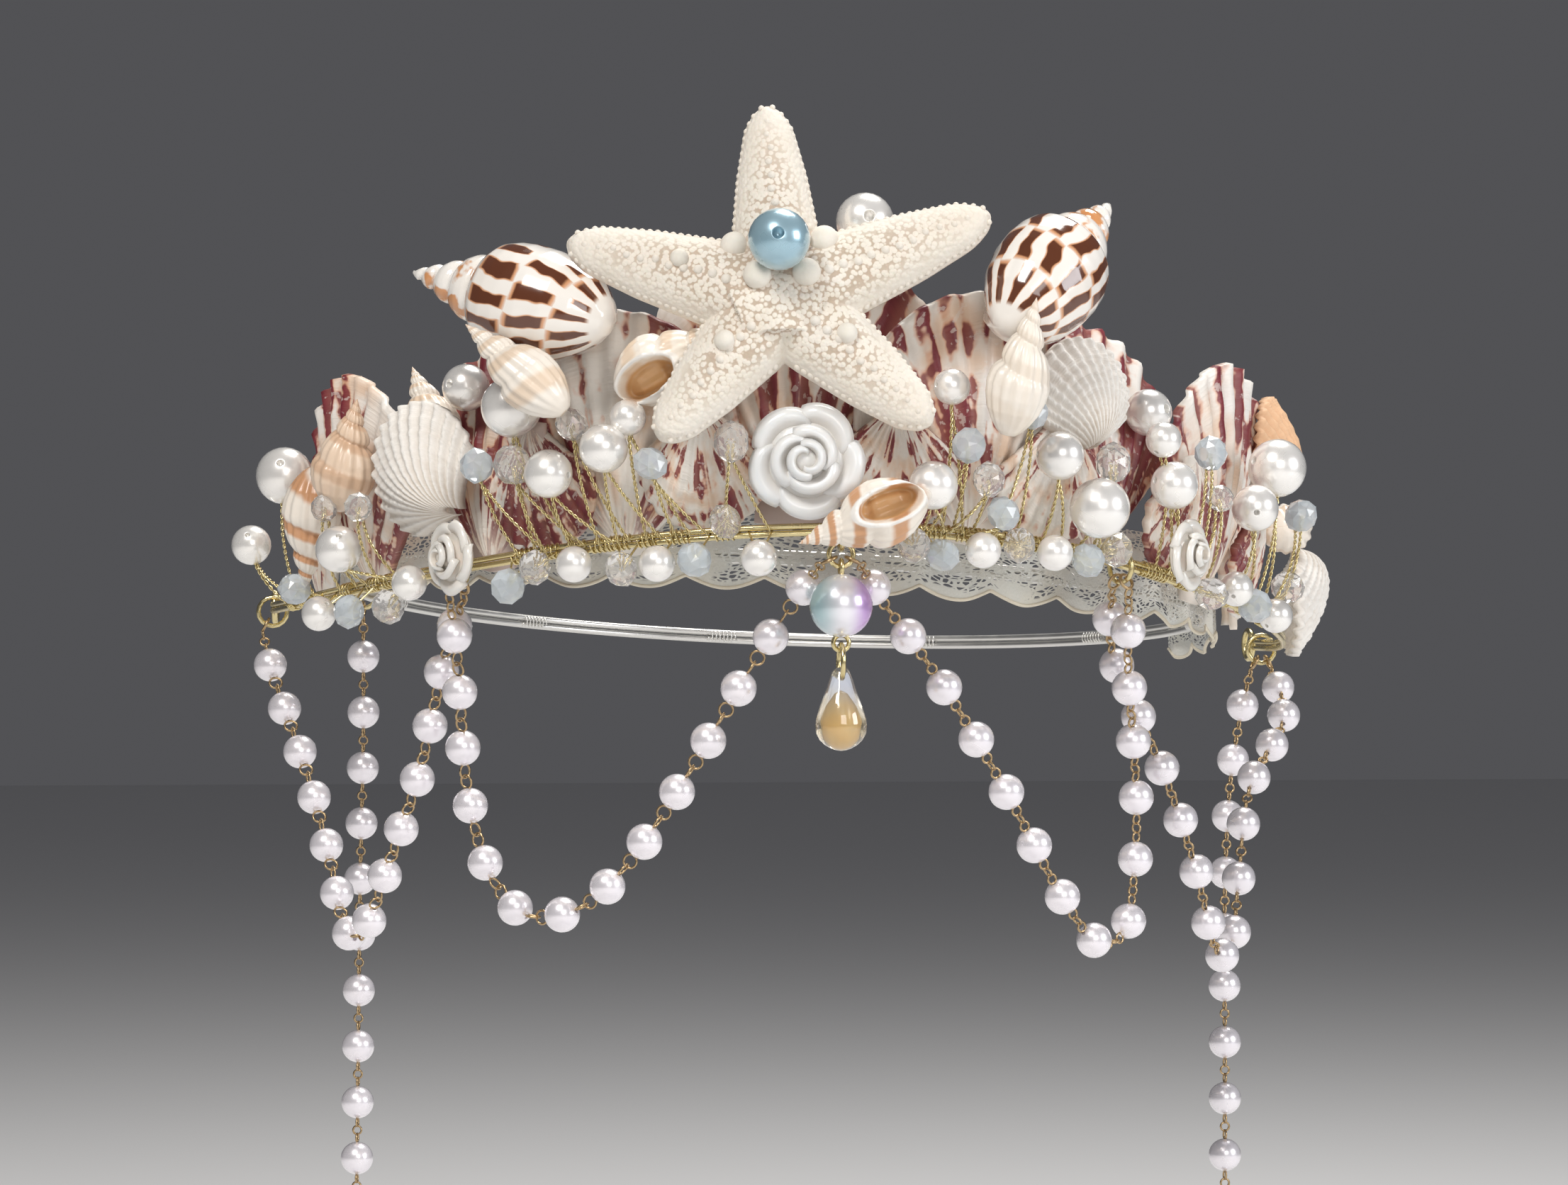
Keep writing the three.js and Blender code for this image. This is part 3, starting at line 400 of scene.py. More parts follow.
def fan(size, spread, cup, ribs, depth, wall, beaded=0.0, ears=0.0):
    """A ribbed fan that opens upwards from its hinge and bulges outwards."""
    form = Form()
    across, along = np.meshgrid(np.linspace(0, 1, ribs * 6 + 1), np.linspace(0, 1, 54 if beaded else 40))
    out = 0.06 + 0.94 * along
    bearing = (2 * across - 1) * spread
    rib = np.cos(2 * np.pi * ribs * across) * -0.5 + 0.5
    edge = 1 - 0.016 * (1 - rib) * along
    turn = np.radians(bearing)
    reach = size * out * np.cos(turn) * edge
    arch = 1 - (2 * out ** 0.6 - 1) ** 2
    sides = 1 - 0.8 * (bearing / spread) ** 2
    ridge = depth * out ** 0.8 * rib * (1 + beaded * np.sin(out * size * 4.2) * rib)
    growth = 0.12 * np.sin(out * 46 + 0.6 * np.sin(out * 17)) * out
    rise = cup * arch * sides + ridge + growth
    spots = np.stack([bearing / spread, out, rib], -1)
    front = np.stack([reach * np.sin(turn), reach * np.cos(turn), rise], -1)
    back = front - (0, 0, wall)
    rim = lambda grid: np.concatenate([grid[0], grid[1:, -1], grid[-1, -2::-1], grid[-2:0:-1, 0]])
    form.grid(front * MM, spots)
    form.grid(back * MM, spots * (1, 1, 0))
    form.grid(np.stack([rim(front), rim(back)]) * MM, np.stack([rim(spots)] * 2), around=True)
    if ears:
        for side in (-1, 1):
            far = side * ears
            corner = np.array([[0, 0], [far, 0.02 * size], [far * 0.9, 0.16 * size], [0, 0.2 * size]])
            plate = np.array([[[x, y, cup * 0.5 + lift] for x, y in corner] for lift in (-wall, 0)])
            form.grid(plate * MM, np.full((2, 4, 3), 0.12), around=True)
            form.faces += [[form.count - 4 + k for k in range(4)], [form.count - 8 + k for k in range(4)]]
    return form


def scallop_look(name, seed, maroon):
    look = Look(name, Roughness=0.42, Coat_Weight=0.12, Coat_Roughness=0.3)
    bearing, out, rib = look.spot(0), look.spot(1), look.spot(2)
    patch = look.vector(bearing * 3.2 + seed, out * 4.5 + seed * 0.7, seed)
    rays = look.noise(2.2, 1.0, look.vector(bearing * 5.0 + seed * 3.0, out * 0.5, seed))
    blotch = look.noise(1.25, 3.0, patch) * 0.65 + rays * 0.6
    mask = look.ramp(blotch + out * 0.06, 0.81 - maroon * 0.24, 0.84 - maroon * 0.24)
    edge = look.ramp(blotch + out * 0.06, 0.77 - maroon * 0.24, 0.83 - maroon * 0.24)
    flecks = look.ramp(look.noise(5.0, 3.0, patch), 0.6, 0.64)
    warm = look.mix(look.ramp(look.noise(0.9, 2.0, patch), 0.42, 0.7), (0.86, 0.82, 0.76), (0.8, 0.6, 0.45))
    stain = look.mix(look.noise(3.0, 3.0, patch), (0.12, 0.008, 0.022), (0.27, 0.035, 0.045))
    colour = look.mix(mask * (0.8 + 0.2 * rib), look.mix(edge * 0.7, warm, (0.66, 0.27, 0.13)), stain)
    colour = look.mix(flecks * 0.45, colour, (0.85, 0.77, 0.7))
    hinge = 1.0 - look.ramp(out, 0.08, 0.3)
    look.set("Base Color", look.mix(hinge * 0.6, colour, (0.86, 0.79, 0.7)))
    look.set("Roughness", 0.34 + 0.25 * look.noise(6.0, 2.0, patch))
    lines = look.noise(1.0, 2.0, look.vector(bearing * 3.0, out * 75.0, seed))
    look.bump(lines, 0.4, 0.0004)
    return look


for number, (node, angle, height, size, lean, maroon) in enumerate(SCALLOPS):
    shell = fan(size, 50, size * 0.12, 13, 1.15, 1.3, ears=size * 0.13)
    look = scallop_look(node + "_look", number * 7.31 + 1.7, maroon)
    shell.piece(node + "_shell", look, "scallop_shell", [node], place=station(angle, 3.8, height, lean))
for number, (node, angle, out, height, size, maroon) in enumerate(LOW_SCALLOPS):
    shell = fan(size, 50, size * 0.12, 13, 0.6, 1.2, ears=size * 0.13)
    look = scallop_look(node + "_look", number * 5.17 + 40.3, maroon)
    shell.piece(node + "_shell", look, "scallop_shell", [node], place=station(angle, out, height, 10, 0, 180))

# Cockle shells: chalky white domes with close beaded ribs, drilled at the hinge and held by a stem,
# and one peach shell that is mostly hidden.
COCKLES = (
    ("cockle_left", -43, 13, 19, 23, 5, 50), ("cockle_right", 25, 17, 29, 19, -5, 2),
    ("cockle_far_right", 84, 16.5, 14, 20, 0, 175), ("cockle_peach", 64, 13.5, 22, 18, 0, 0),
)


def chalk_look(name, pale, shade, seed):
    look = Look(name, Roughness=0.6)
    bearing, out, rib = look.spot(0), look.spot(1), look.spot(2)
    dirt = look.noise(2.0, 4.0, look.vector(bearing * 3.0 + seed, out * 5.0, seed))
    # Painted shade: the grooves between the ribs are darkened towards the shade colour, more so near the hinge; the
    # dirt noise added to it gives real stains.
    painted_groove_shade = (1.0 - rib) * (0.25 + 0.45 * (1.0 - look.ramp(out, 0.15, 0.6)))
    look.set("Base Color", look.mix(painted_groove_shade + 0.16 * look.ramp(dirt, 0.45, 0.75), pale, shade))
    look.set("Roughness", 0.5 + 0.3 * dirt)
    growth = look.noise(1.0, 1.0, look.vector(bearing, out * 90.0, seed))
    look.bump(look.noise(1800.0, 3.0) + 1.5 * growth, 0.35, 0.0003)
    return look


for number, (node, angle, out, height, size, lean, turn) in enumerate(COCKLES):
    if node == "cockle_peach":
        look, slot = chalk_look(node + "_look", (0.78, 0.5, 0.3), (0.5, 0.24, 0.12), 9.0), "peach_shell"
    else:
        look, slot = chalk_look(node + "_look", (0.88, 0.85, 0.8), (0.5, 0.4, 0.3), number * 2.3), "white_shell"
    shell = fan(size, 62, size * 0.32, 17, 0.85, 1.3, beaded=0.05 if node == "cockle_peach" else 0.2)
    shell.piece(node + "_shell", look, slot, [node], place=station(angle, out, height, lean, 0, turn))

# Spiral shells: two glossy spotted babylons beside the starfish and eight small banded nassas.
# They are glued on, or drilled and wired to the stems.
BABYLONS = (("babylon_left", -34, 21, 54, 40, 19, 76, 0), ("babylon_right", 20, 21, 59, 36, 19, -54, 20))
NASSAS = (
    ("nassa_1", -31, 29.5, 42, 22, 10, 47, 18, 0), ("nassa_2", -18, 19, 43.5, 21, 11.5, -60, 0, 1),
    ("nassa_3", -66, 17, 16.5, 22, 10, 167, 0, 0), ("nassa_4", -58, 17.5, 29, 20, 11, -20, 0, 0),
    ("nassa_5", -50, 10, 36, 18, 9, 30, 0, 0), ("nassa_6", 0, 25.5, 17.3, 22, 11, 110, 0, 1),
    ("nassa_7", 14, 29.5, 42, 23, 10, -6, 15, 0), ("nassa_8", 82, 15, 17, 16, 9, -95, 0, 0),
)
PROFILE = (
    (0, 0.0), (0.005, 0.22), (0.04, 0.42), (0.1, 0.63), (0.18, 0.83), (0.28, 0.96), (0.37, 1.0),
    (0.46, 0.94), (0.55, 0.8), (0.66, 0.6), (0.78, 0.39), (0.9, 0.18), (0.97, 0.06), (1, 0.01),
)
STEPPED = (
    (0, 0.0), (0.008, 0.2), (0.05, 0.44), (0.12, 0.68), (0.22, 0.88), (0.33, 0.98), (0.43, 1.0),
    (0.5, 0.97), (0.56, 0.9), (0.6, 0.77), (0.615, 0.66), (0.622, 0.55), (0.65, 0.61), (0.69, 0.59),
    (0.73, 0.51), (0.748, 0.41), (0.755, 0.34), (0.78, 0.395), (0.81, 0.38), (0.84, 0.31),
    (0.858, 0.24), (0.865, 0.19), (0.885, 0.24), (0.91, 0.21), (0.93, 0.15), (0.938, 0.1),
    (0.955, 0.13), (0.975, 0.09), (1, 0.012),
)


def spiral(length, width, profile, suture, ribs, mouth):
    """A spiral shell along Y with its tip up: whorls that shrink towards the tip, and a mouth."""
    turn, along = np.meshgrid(np.linspace(-np.pi, np.pi, 75, endpoint=False), np.linspace(0, 1, 96))
    lag = 0 if ribs else 0.03 * turn / np.pi * np.clip(along * 8, 0, 1)
    reach = np.interp(along + lag, *np.array(profile).T) * width / 2
    whorl = np.log(np.clip(1.04 - along, 0.04, 2)) / np.log(0.6) + turn / (2 * np.pi)
    share = whorl % 1
    fade = np.clip((along - 0.4) / 0.12, 0, 1)
    reach = reach * (1 - suture * fade * np.abs(2 * share - 1) ** 3)
    cord = np.cos(ribs * turn + 2.2 * along)
    reach = reach * (1 + (0.045 if ribs else 0) * cord * np.clip(along * 5, 0, 1))
    x, y, z = reach * np.sin(turn), (along - 0.5) * length, reach * np.cos(turn)
    hollow = lip = np.zeros_like(x)
    if mouth:
        far = ((x - 0.1 * width) / (0.24 * width)) ** 2 + ((y + 0.22 * length) / (0.25 * length)) ** 2
        hollow = np.clip((1.15 - far) / 0.6, 0, 1) * (z > 0)
        hollow = hollow * hollow * (3 - 2 * hollow)
        z = z - 0.42 * width * hollow
        lip = np.exp(-((far - 1.35) / 0.33) ** 2) * (z > 0)
        z = z + 0.07 * width * lip
    spots = np.stack([whorl, along, hollow - lip if ribs else turn / (2 * np.pi)], -1)
    return Form().grid(np.stack([x, y, z], -1) * MM, spots, around=True)


spotted = Look("spotted", Roughness=0.16, Coat_Weight=0.7, Coat_Roughness=0.06)
wander = spotted.noise(120.0, 2.0) * 0.9
level = spotted.spot(1) * 5.0 - 0.05 + spotted.spot(2) + wander * 0.4
row = spotted.node("ShaderNodeMath", {"operation": "FLOOR"}, {0: level})
column = spotted.spot(2) * 12.0 + row * 0.43 + wander * 1.3
near_row = spotted.node("ShaderNodeMath", {"operation": "FRACT"}, {0: level})
near_column = spotted.node("ShaderNodeMath", {"operation": "FRACT"}, {0: column})
off_row = spotted.node("ShaderNodeMath", {"operation": "ABSOLUTE"}, {0: near_row - 0.5})
off_column = spotted.node("ShaderNodeMath", {"operation": "ABSOLUTE"}, {0: near_column - 0.5})
off = spotted.node("ShaderNodeMath", {"operation": "MAXIMUM"}, {0: off_row * 0.54, 1: off_column})
on_body = spotted.ramp(spotted.spot(1), 0.04, 0.06) * (1.0 - spotted.ramp(spotted.spot(1), 0.575, 0.61))
kept = spotted.ramp(spotted.noise(95.0, 1.0), 0.3, 0.38) * 0.4 + 0.6
dark = (1.0 - spotted.ramp(off / kept, 0.2, 0.235)) * on_body
halo = (1.0 - spotted.ramp(off / kept, 0.23, 0.29)) * on_body
spire = spotted.ramp(spotted.spot(1), 0.6, 0.66) * spotted.ramp(spotted.noise(210.0), 0.5, 0.58)
pale = spotted.mix(spotted.noise(70.0), (0.9, 0.88, 0.84), (0.87, 0.81, 0.73))
pale = spotted.mix(spire * 0.9, pale, (0.62, 0.24, 0.05))
pale = spotted.mix(halo * 0.85, pale, (0.62, 0.24, 0.06))
spotted.set("Base Color", spotted.mix(dark, pale, (0.115, 0.036, 0.016)))
spotted.bump(spotted.noise(500.0, 2.0), 0.06, 0.0004)
for node, angle, out, height, length, width, turn, swing in BABYLONS:
    shell = spiral(length, width, STEPPED, 0.0, 0, False)
    place = station(angle, out, height, 0, swing, turn)
    shell.piece(node + "_shell", spotted, "spotted_shell", [node], place=place)


def nassa_look(name, pale, tan, band, shift):
    look = Look(name, Roughness=0.3, Coat_Weight=0.35, Coat_Roughness=0.15)
    whorl, along, hollow = look.spot(0), look.spot(1), look.spot(2)
    share = look.node("ShaderNodeMath", {"operation": "FRACT"}, {0: whorl + shift})
    edge = look.noise(260.0, 2.0) * 0.18
    stripe = look.ramp(share + edge, 0.42, 0.56) * (1.0 - look.ramp(share + edge, 0.78, 0.92))
    colour = look.mix(stripe * band, look.mix(look.noise(120.0), pale, (0.84, 0.74, 0.62)), tan)
    colour = look.mix(look.ramp(along, 0.86, 1.0) * 0.5, colour, (0.72, 0.5, 0.34))
    colour = look.mix(look.ramp(-hollow, 0.25, 0.7), colour, (0.88, 0.85, 0.8))
    look.set("Base Color", look.mix(look.ramp(hollow, 0.35, 0.85), colour, (0.62, 0.36, 0.16)))
    look.set("Roughness", 0.24 + 0.22 * look.noise(300.0))
    look.bump(look.noise(700.0, 2.0), 0.12, 0.0003)
    return look


for number, (node, angle, out, height, length, width, turn, lean, mouth) in enumerate(NASSAS):
    pale = (0.88, 0.84, 0.77) if number != 3 else (0.78, 0.54, 0.36)
    band = 0.85 if node in ("nassa_3", "nassa_6") else 0.5
    tan = ((0.66, 0.44, 0.25), (0.7, 0.47, 0.27), (0.58, 0.25, 0.08), (0.55, 0.3, 0.15), (0.7, 0.42, 0.2),
           (0.55, 0.24, 0.075), (0.78, 0.68, 0.56), (0.6, 0.38, 0.2))[number]
    shell = spiral(length, width, PROFILE, 0.26, 15, mouth)
    look = nassa_look(node + "_look", pale, tan, band, 0.23 * number)
    shell.piece(node + "_shell", look, "banded_shell", [node], place=station(angle, out, height, lean, 0, turn))

# Starfish: a dried one, off-white with beige stains, its skin set with fine plates, a bead edge round
# each arm and a row of knobs along it. It is glued upright on the front shells.
STAR_ARMS = ((94, 33), (164, 36), (230, 30), (320, 32), (383, 37))
STAR_PLACE = station(-7.5, 20, 52.5, -13)


def arm_width(share):
    return np.interp(share, (0, 0.3, 0.62, 0.88, 0.97, 1.0), (7.6, 7.2, 5.8, 4.0, 2.2, 0.3))


def star_height(x, y):
    total = np.zeros_like(x)
    for bearing, length in STAR_ARMS:
        turn = math.radians(bearing)
        along = (x * math.cos(turn) + y * math.sin(turn)) / length
        across = -x * math.sin(turn) + y * math.cos(turn)
        share = np.clip(along, 0, 1)
        crest = np.interp(share, (0, 0.35, 0.8, 1.0), (7.6, 6.3, 4.4, 2.6))
        inside = np.clip(1 - (across / arm_width(share)) ** 2, 0, 1) * (along > -0.2)
        total = np.maximum(total, crest * np.sqrt(inside))
    return total


def star_reach(turn):
    far = np.zeros_like(turn)
    step = np.linspace(0, 38, 380)
    for i, angle in enumerate(turn):
        inside = np.zeros_like(step, bool)
        for bearing, length in STAR_ARMS:
            apart = angle - math.radians(bearing)
            share = step * np.cos(apart) / length
            slim = np.abs(step * np.sin(apart)) <= arm_width(np.clip(share, 0, 1))
            inside |= slim & (share <= 1) & (share > -0.1)
        far[i] = step[inside].max()
    return far


star_turn = np.linspace(0, 2 * np.pi, 420, endpoint=False)
star_far = star_reach(star_turn)
star_far = (np.roll(star_far, 1) + star_far + np.roll(star_far, -1)) / 3
share = np.linspace(0.004, 1, 60)[:, None]
star_x, star_y = share * star_far * np.cos(star_turn), share * star_far * np.sin(star_turn)
rise = np.maximum(star_height(star_x * 0.985, star_y * 0.985), 1.0) * np.clip((1.02 - share) / 0.05, 0.25, 1)
front = np.stack([star_x, star_y, rise], -1)
back = np.stack([star_x, star_y, 0 * rise], -1)
star = Form().grid(front * MM, np.stack([share + 0 * star_x, rise / 8, 0 * rise], -1), around=True)
star.grid(np.stack([front[-1], back[-1]]) * MM, around=True)
star.grid(back[[0, -1]] * MM, around=True)
chance = np.random.default_rng(4)
for bearing, length in STAR_ARMS:
    turn = math.radians(bearing)
    ahead, beside = np.array([math.cos(turn), math.sin(turn)]), np.array([-math.sin(turn), math.cos(turn)])
    for side in (-1, 1):
        for step in np.arange(0.3, 0.99, 1.25 / length):
            x, y = ahead * step * length + beside * side * (arm_width(step) - 0.55)
            lift = float(star_height(np.array([x]), np.array([y]))[0])
            plate = np.array([x, y, max(lift * 0.8, 1.2)]) * MM
            star.bead(plate, (0.75 - 0.25 * step) * MM, drilled=False, sides=9)
    for step in np.arange(0.24, 0.95, 2.4 / length):
        x, y = ahead * step * length + beside * chance.uniform(-0.4, 0.4)
        lift = float(star_height(np.array([x]), np.array([y]))[0])
        star.bead(np.array([x, y, lift - 0.25]) * MM, (1.0 - 0.45 * step) * MM, drilled=False, sides=12)
STAR_KNOBS = ((-7.2, 8.3, 2.4), (7.2, 9.2, 2.4), (-3.4, 2.4, 2.3), (4.5, 2.9, 2.3), (-8.6, -8.0, 1.7),
              (11.0, -6.8, 1.7), (-16.0, 5.8, 1.5))
for x, y, size in STAR_KNOBS:
    lift = float(star_height(np.array([x]), np.array([y]))[0])
    star.bead(np.array([x, y, lift + 0.1]) * MM, size * MM, drilled=False)
star_look = Look("starfish", Roughness=0.8, Subsurface_Weight=0.06)
stains = star_look.ramp(star_look.noise(34.0, 4.0), 0.52, 0.72)
smooth = star_look.ramp(star_look.spot(2), 0.1, 0.35)
grains = star_look.cells(1250.0)
crest = star_look.ramp(star_look.spot(1), 0.35, 0.75)
pits = star_look.ramp(grains + 0.5 * star_look.noise(260.0, 2.0), 0.74, 0.94) * crest
skin = star_look.mix(star_look.noise(160.0), (0.85, 0.8, 0.72), (0.77, 0.69, 0.58))
skin = star_look.mix(stains * 0.6, skin, (0.74, 0.57, 0.4))
star_look.set("Base Color", star_look.mix(pits * (0.7 - 0.7 * smooth), skin, (0.4, 0.28, 0.18)))
star_look.bump((1.0 - grains) * (1.0 - 0.85 * smooth) + 0.25 * star_look.noise(2400.0), 0.42, 0.0004)
star.piece("starfish_body", star_look, "starfish", ["starfish"], place=STAR_PLACE)

# Roses: cast resin, pearly white, with petals rolled out round a bud. One large rose is glued below the
# starfish and two small ivory ones on the rail.
ROSES = (
    ("rose_centre", -5, 18, 27, 18, 0), ("rose_left", -41, 19, 11.5, 12, -15),
    ("rose_right", 36, 20.5, 12, 11.5, 10),
)
PETAL_RINGS = ((2, 0.28, 0.78, 0.66), (3, 0.58, 0.63, 0.5), (5, 1.05, 0.38, 0.12))


def rose(width):
    radius = width / 2
    form = Form()
    for ring, (count, reach, tip, root) in enumerate(PETAL_RINGS):
        for k in range(count):
            middle = 2 * np.pi * (k + 0.37 * ring) / count
            half = 1.25 * np.pi / count
            side, up = np.meshgrid(np.linspace(-1, 1, 17), np.linspace(0, 1, 11))
            turn = middle + side * half * (0.65 + 0.35 * np.sin(up * np.pi * 0.75))
            swirl = 0.07 * side
            curl = 0.1 * np.clip(up - 0.7, 0, 1) / 0.3
            far = reach * (0.42 + 0.5 * up ** 0.8) + swirl + curl - 0.13 * reach * np.abs(side) ** 2.2
            rise = root * 0.4 + (tip - root * 0.4) * np.sin(up * np.pi * 0.58)
            rise = rise - 0.12 * np.clip(up - 0.8, 0, 1) / 0.2
            rise = rise - 0.16 * np.abs(side) ** 4 * up
            outer = np.stack([far * np.cos(turn), far * np.sin(turn), rise], -1)
            inner = outer * (0.94, 0.94, 1) - (0, 0, 0.05)
            spots = np.stack([side, up, 0 * up + ring / 2], -1)
            form.grid(outer * radius * MM, spots)
            form.grid(inner * radius * MM, spots)
            lip = lambda g: np.concatenate([g[0], g[1:, -1], g[-1, -2::-1], g[-2:0:-1, 0]])
            form.grid(np.stack([lip(outer), lip(inner)]) * radius * MM, np.stack([lip(spots)] * 2), around=True)
    turn = np.linspace(0, 2 * np.pi, 24, endpoint=False)
    cup = ((0.0, 0.0), (0.8, 0.0), (0.92, 0.12), (0.6, 0.3), (0.25, 0.45), (0.14, 0.62), (0.0, 0.66))
    rows = np.array([[[w * math.cos(t), w * math.sin(t), z] for t in turn] for w, z in cup])
    form.grid(rows * radius * MM, around=True)
    return form


def resin_look(name, pale, shade, lustre):
    look = Look(name, Roughness=0.3, Coat_Weight=lustre, Coat_Roughness=0.12, Subsurface_Weight=0.15)
    # Painted shade: each petal is darker towards its root, deep between the other petals, and the solid core inside
    # the petals is darkened the same way; the noise adds real random tone.
    depth = 1.0 - look.ramp(look.spot(1), 0.1, 0.9)
    look.set("Base Color", look.mix(depth * 0.5 + 0.2 * look.noise(220.0), pale, shade))
    look.set("Roughness", 0.26 + 0.2 * look.noise(300.0))
    look.bump(look.noise(380.0, 3.0), 0.18, 0.0005)
    return look


large_rose = resin_look("large_rose", (0.88, 0.87, 0.85), (0.74, 0.69, 0.62), 0.5)
small_rose = resin_look("small_rose", (0.86, 0.82, 0.75), (0.7, 0.6, 0.49), 0.8)
for node, angle, out, height, width, swing in ROSES:
    look = large_rose if node == "rose_centre" else small_rose
    rose(width).piece(node + "_petals", look, "resin", [node], place=station(angle, out, height, 0, swing))

# Pearls glued to the shells: round plastic pearls with a drilled hole, one blue-grey on the starfish,
# one ivory behind it and one on each side.


def pearl_look(name, colour, sheen, rough=0.27):
    look = Look(name, Metallic=0.45, Coat_Weight=1.0, Coat_Roughness=0.04, Specular_IOR_Level=0.6)
    cloud = look.noise(240.0, 2.0)
    look.set("Base Color", look.mix(cloud * 0.6, colour, sheen))
    look.set("Roughness", rough - 0.04 + 0.1 * cloud)
    look.bump(look.noise(900.0, 2.0), 0.05, 0.0002)
    return look


ivory = pearl_look("ivory_pearl", (0.95, 0.93, 0.88), (0.9, 0.88, 0.87))
lilac = pearl_look("lilac_pearl", (0.94, 0.9, 0.93), (0.86, 0.83, 0.9))
blue = pearl_look("blue_pearl", (0.3, 0.5, 0.6), (0.48, 0.63, 0.7))
GLUED = (("star_pearl", -7.5, 31, 62, 10, blue, "blue_pearl"), ("back_pearl", 1.2, 14, 66, 9.5, ivory, "pearl"),
         ("left_pearl", -45, 9, 40, 8, ivory, "pearl"), ("right_pearl", 38, 10, 36, 8, ivory, "pearl"))
for node, angle, out, height, size, look, slot in GLUED:
    facing = outward(angle) + (0, 0, 0.15)
    pearl = Form().bead(oval(angle, out, height), size / 2 * MM, facing, hole=0.2)
    pearl.piece(node + "_ball", look, slot, [node])
glue_look = Look("glue", (0.85, 0.7, 0.66), Roughness=0.08, Transmission_Weight=0.7, IOR=1.48)
turn, fall = np.meshgrid(np.linspace(0, 2 * np.pi, 32, endpoint=False), np.linspace(0, 1, 9))
collar = 1 + 0.16 * np.sin(3 * turn + 1) + 0.1 * np.sin(5 * turn)
bed = np.stack([(1.2 + 2.9 * fall) * collar * np.cos(turn), (1.2 + 2.9 * fall) * collar * np.sin(turn),
                1.5 * (1 - fall ** 2)], -1)
glue_place = station(-7.5, 24.6, 62, -13)
Form().grid(bed * MM, around=True).piece("glue_bed", glue_look, "blue_pearl", place=glue_place)

# Rail: two gold wires side by side that run across the front with an eye at each end, wound with
# turns of thin gold wire where the sprays are fixed.


def rail_height(angle):
    drop = np.where(np.asarray(angle) < 0, 13, 20)
    return 16 - drop * np.sin(np.radians(np.minimum(np.abs(angle), 90))) ** 2


gold = Look("gold", (0.83, 0.66, 0.3), Metallic=1.0)
gold.set("Roughness", 0.14 + 0.22 * gold.noise(500.0))
gold.set("Base Color", gold.mix(gold.noise(160.0), (0.8, 0.69, 0.4), (0.66, 0.55, 0.27)))
rail = Form()
span = np.linspace(-96, 96, 150)
for lift in (-0.56, 0.56):
    rail.sweep(oval(span, 14, rail_height(span) + lift), 0.52 * MM, 8)
for end in (-96, 96):
    tip = oval(end, 14, float(rail_height(end)))
    onward = outward(end + math.copysign(90, end))
    rail.loop(tip + onward * 2.6 * MM, outward(end), 2.6 * MM, 0.62 * MM)
WRAPS = (-75, -71, -61, -56, -53, -35, -32, -29, -26, -24, -21, -18, -13, 7, 9, 12, 14, 17, 20, 24, 26, 35, 37,
         41, 49, 54, 60)
for root in WRAPS:
    part = np.linspace(root - 1.1, root + 1.1, 8)
    rail.sweep(helix(oval(part, 14, rail_height(part)), 1.22 * MM, 4, samples=10), 0.17 * MM, 5)
rail.piece("rail_wires", gold, "gold_wire", ["front_rail"])

# Bead sprays: ivory pearls, milky opal beads and clear cut glass, each on a stem of two gold wires
# twisted together, which starts at the rail. A row of smaller beads is wired along the rail itself.
SPRAYS = {
    "spray_far_left": (
        ("pearl", 10, -73, 17, 26, -71), ("pearl", 7, -77, 21, 14, -75), ("pearl", 8, -56.5, 21, 13, -56),
    ),
    "spray_left": (
        ("pearl", 10, -34, 21, 36, -33), ("pearl", 8, -29.5, 23, 25, -29), ("pearl", 8, -24, 23, 29, -24),
        ("pearl", 6, -22, 21, 34, -21), ("clear", 7, -33.5, 22, 26.5, -32), ("clear", 7, -12, 22, 30, -13),
    ),
    "spray_right": (
        ("pearl", 6, 9, 21, 39, 9), ("pearl", 8, 7, 22, 23, 7), ("pearl", 8, 20, 22, 28, 20),
        ("pearl", 10, 24.5, 22, 19.5, 24), ("clear", 7, 26.5, 21, 27, 26),
    ),
    "spray_far_right": (
        ("pearl", 6, 33, 21, 31, 35), ("pearl", 8, 34.5, 21, 23.5, 37), ("pearl", 8, 48, 21, 20, 49),
        ("pearl", 10, 53, 21, 27, 54),
    ),
}
SMALL_STONES = (
    ("clear", 5, -59, 21, 20, -61), ("clear", 5, -53, 21.5, 20, -54), ("clear", 6, -27.5, 21.5, 33, -26),
    ("opal", 6, -37.5, 22, 26.5, -35), ("opal", 6, -19.5, 23, 26.5, -18), ("opal", 6, 10.5, 22, 29.5, 10),
    ("clear", 6, 12.5, 22, 24, 12), ("opal", 6, 14, 22, 18.5, 14), ("opal", 6, 17, 22, 35, 17),
    ("opal", 6, 40, 21, 29, 41), ("clear", 5, 41.5, 21, 21.5, 43), ("opal", 6, 60, 21, 19, 60),
)
RAIL_ROW = (
    ("opal", -67.7, 6.3), ("pearl", -62.3, 2.1), ("opal", -56.7, 2.5), ("clear", -50.5, 3.3), ("pearl", -47.5, 7.3),
    ("opal", -35.2, 6.7), ("clear", -32.2, 9.8), ("pearl", -28, 10.3), ("clear", -23.1, 9.5), ("pearl", -19.5, 10.4),
    ("opal", -15.8, 11), ("clear", -12.8, 17.2), ("pearl", -9.5, 11.3), ("clear", 5.6, 13.4), ("opal", 8.5, 11.8),
    ("pearl", 12.7, 12.6), ("clear", 16.6, 13.4), ("pearl", 20.6, 12.2), ("opal", 24.5, 11), ("clear", 28, 12.8),
    ("clear", 42, 5.5), ("pearl", 46.6, 6.3), ("opal", 50.6, 3.4), ("pearl", 56, 1.7), ("clear", 60, 6.6),
)
clear = Look("clear_glass", (0.97, 0.95, 0.93), Roughness=0.02, Transmission_Weight=0.8, IOR=1.56)
clear.set("Base Color", clear.mix(clear.noise(300.0), (1.0, 0.99, 0.98), (0.95, 0.92, 0.88)))
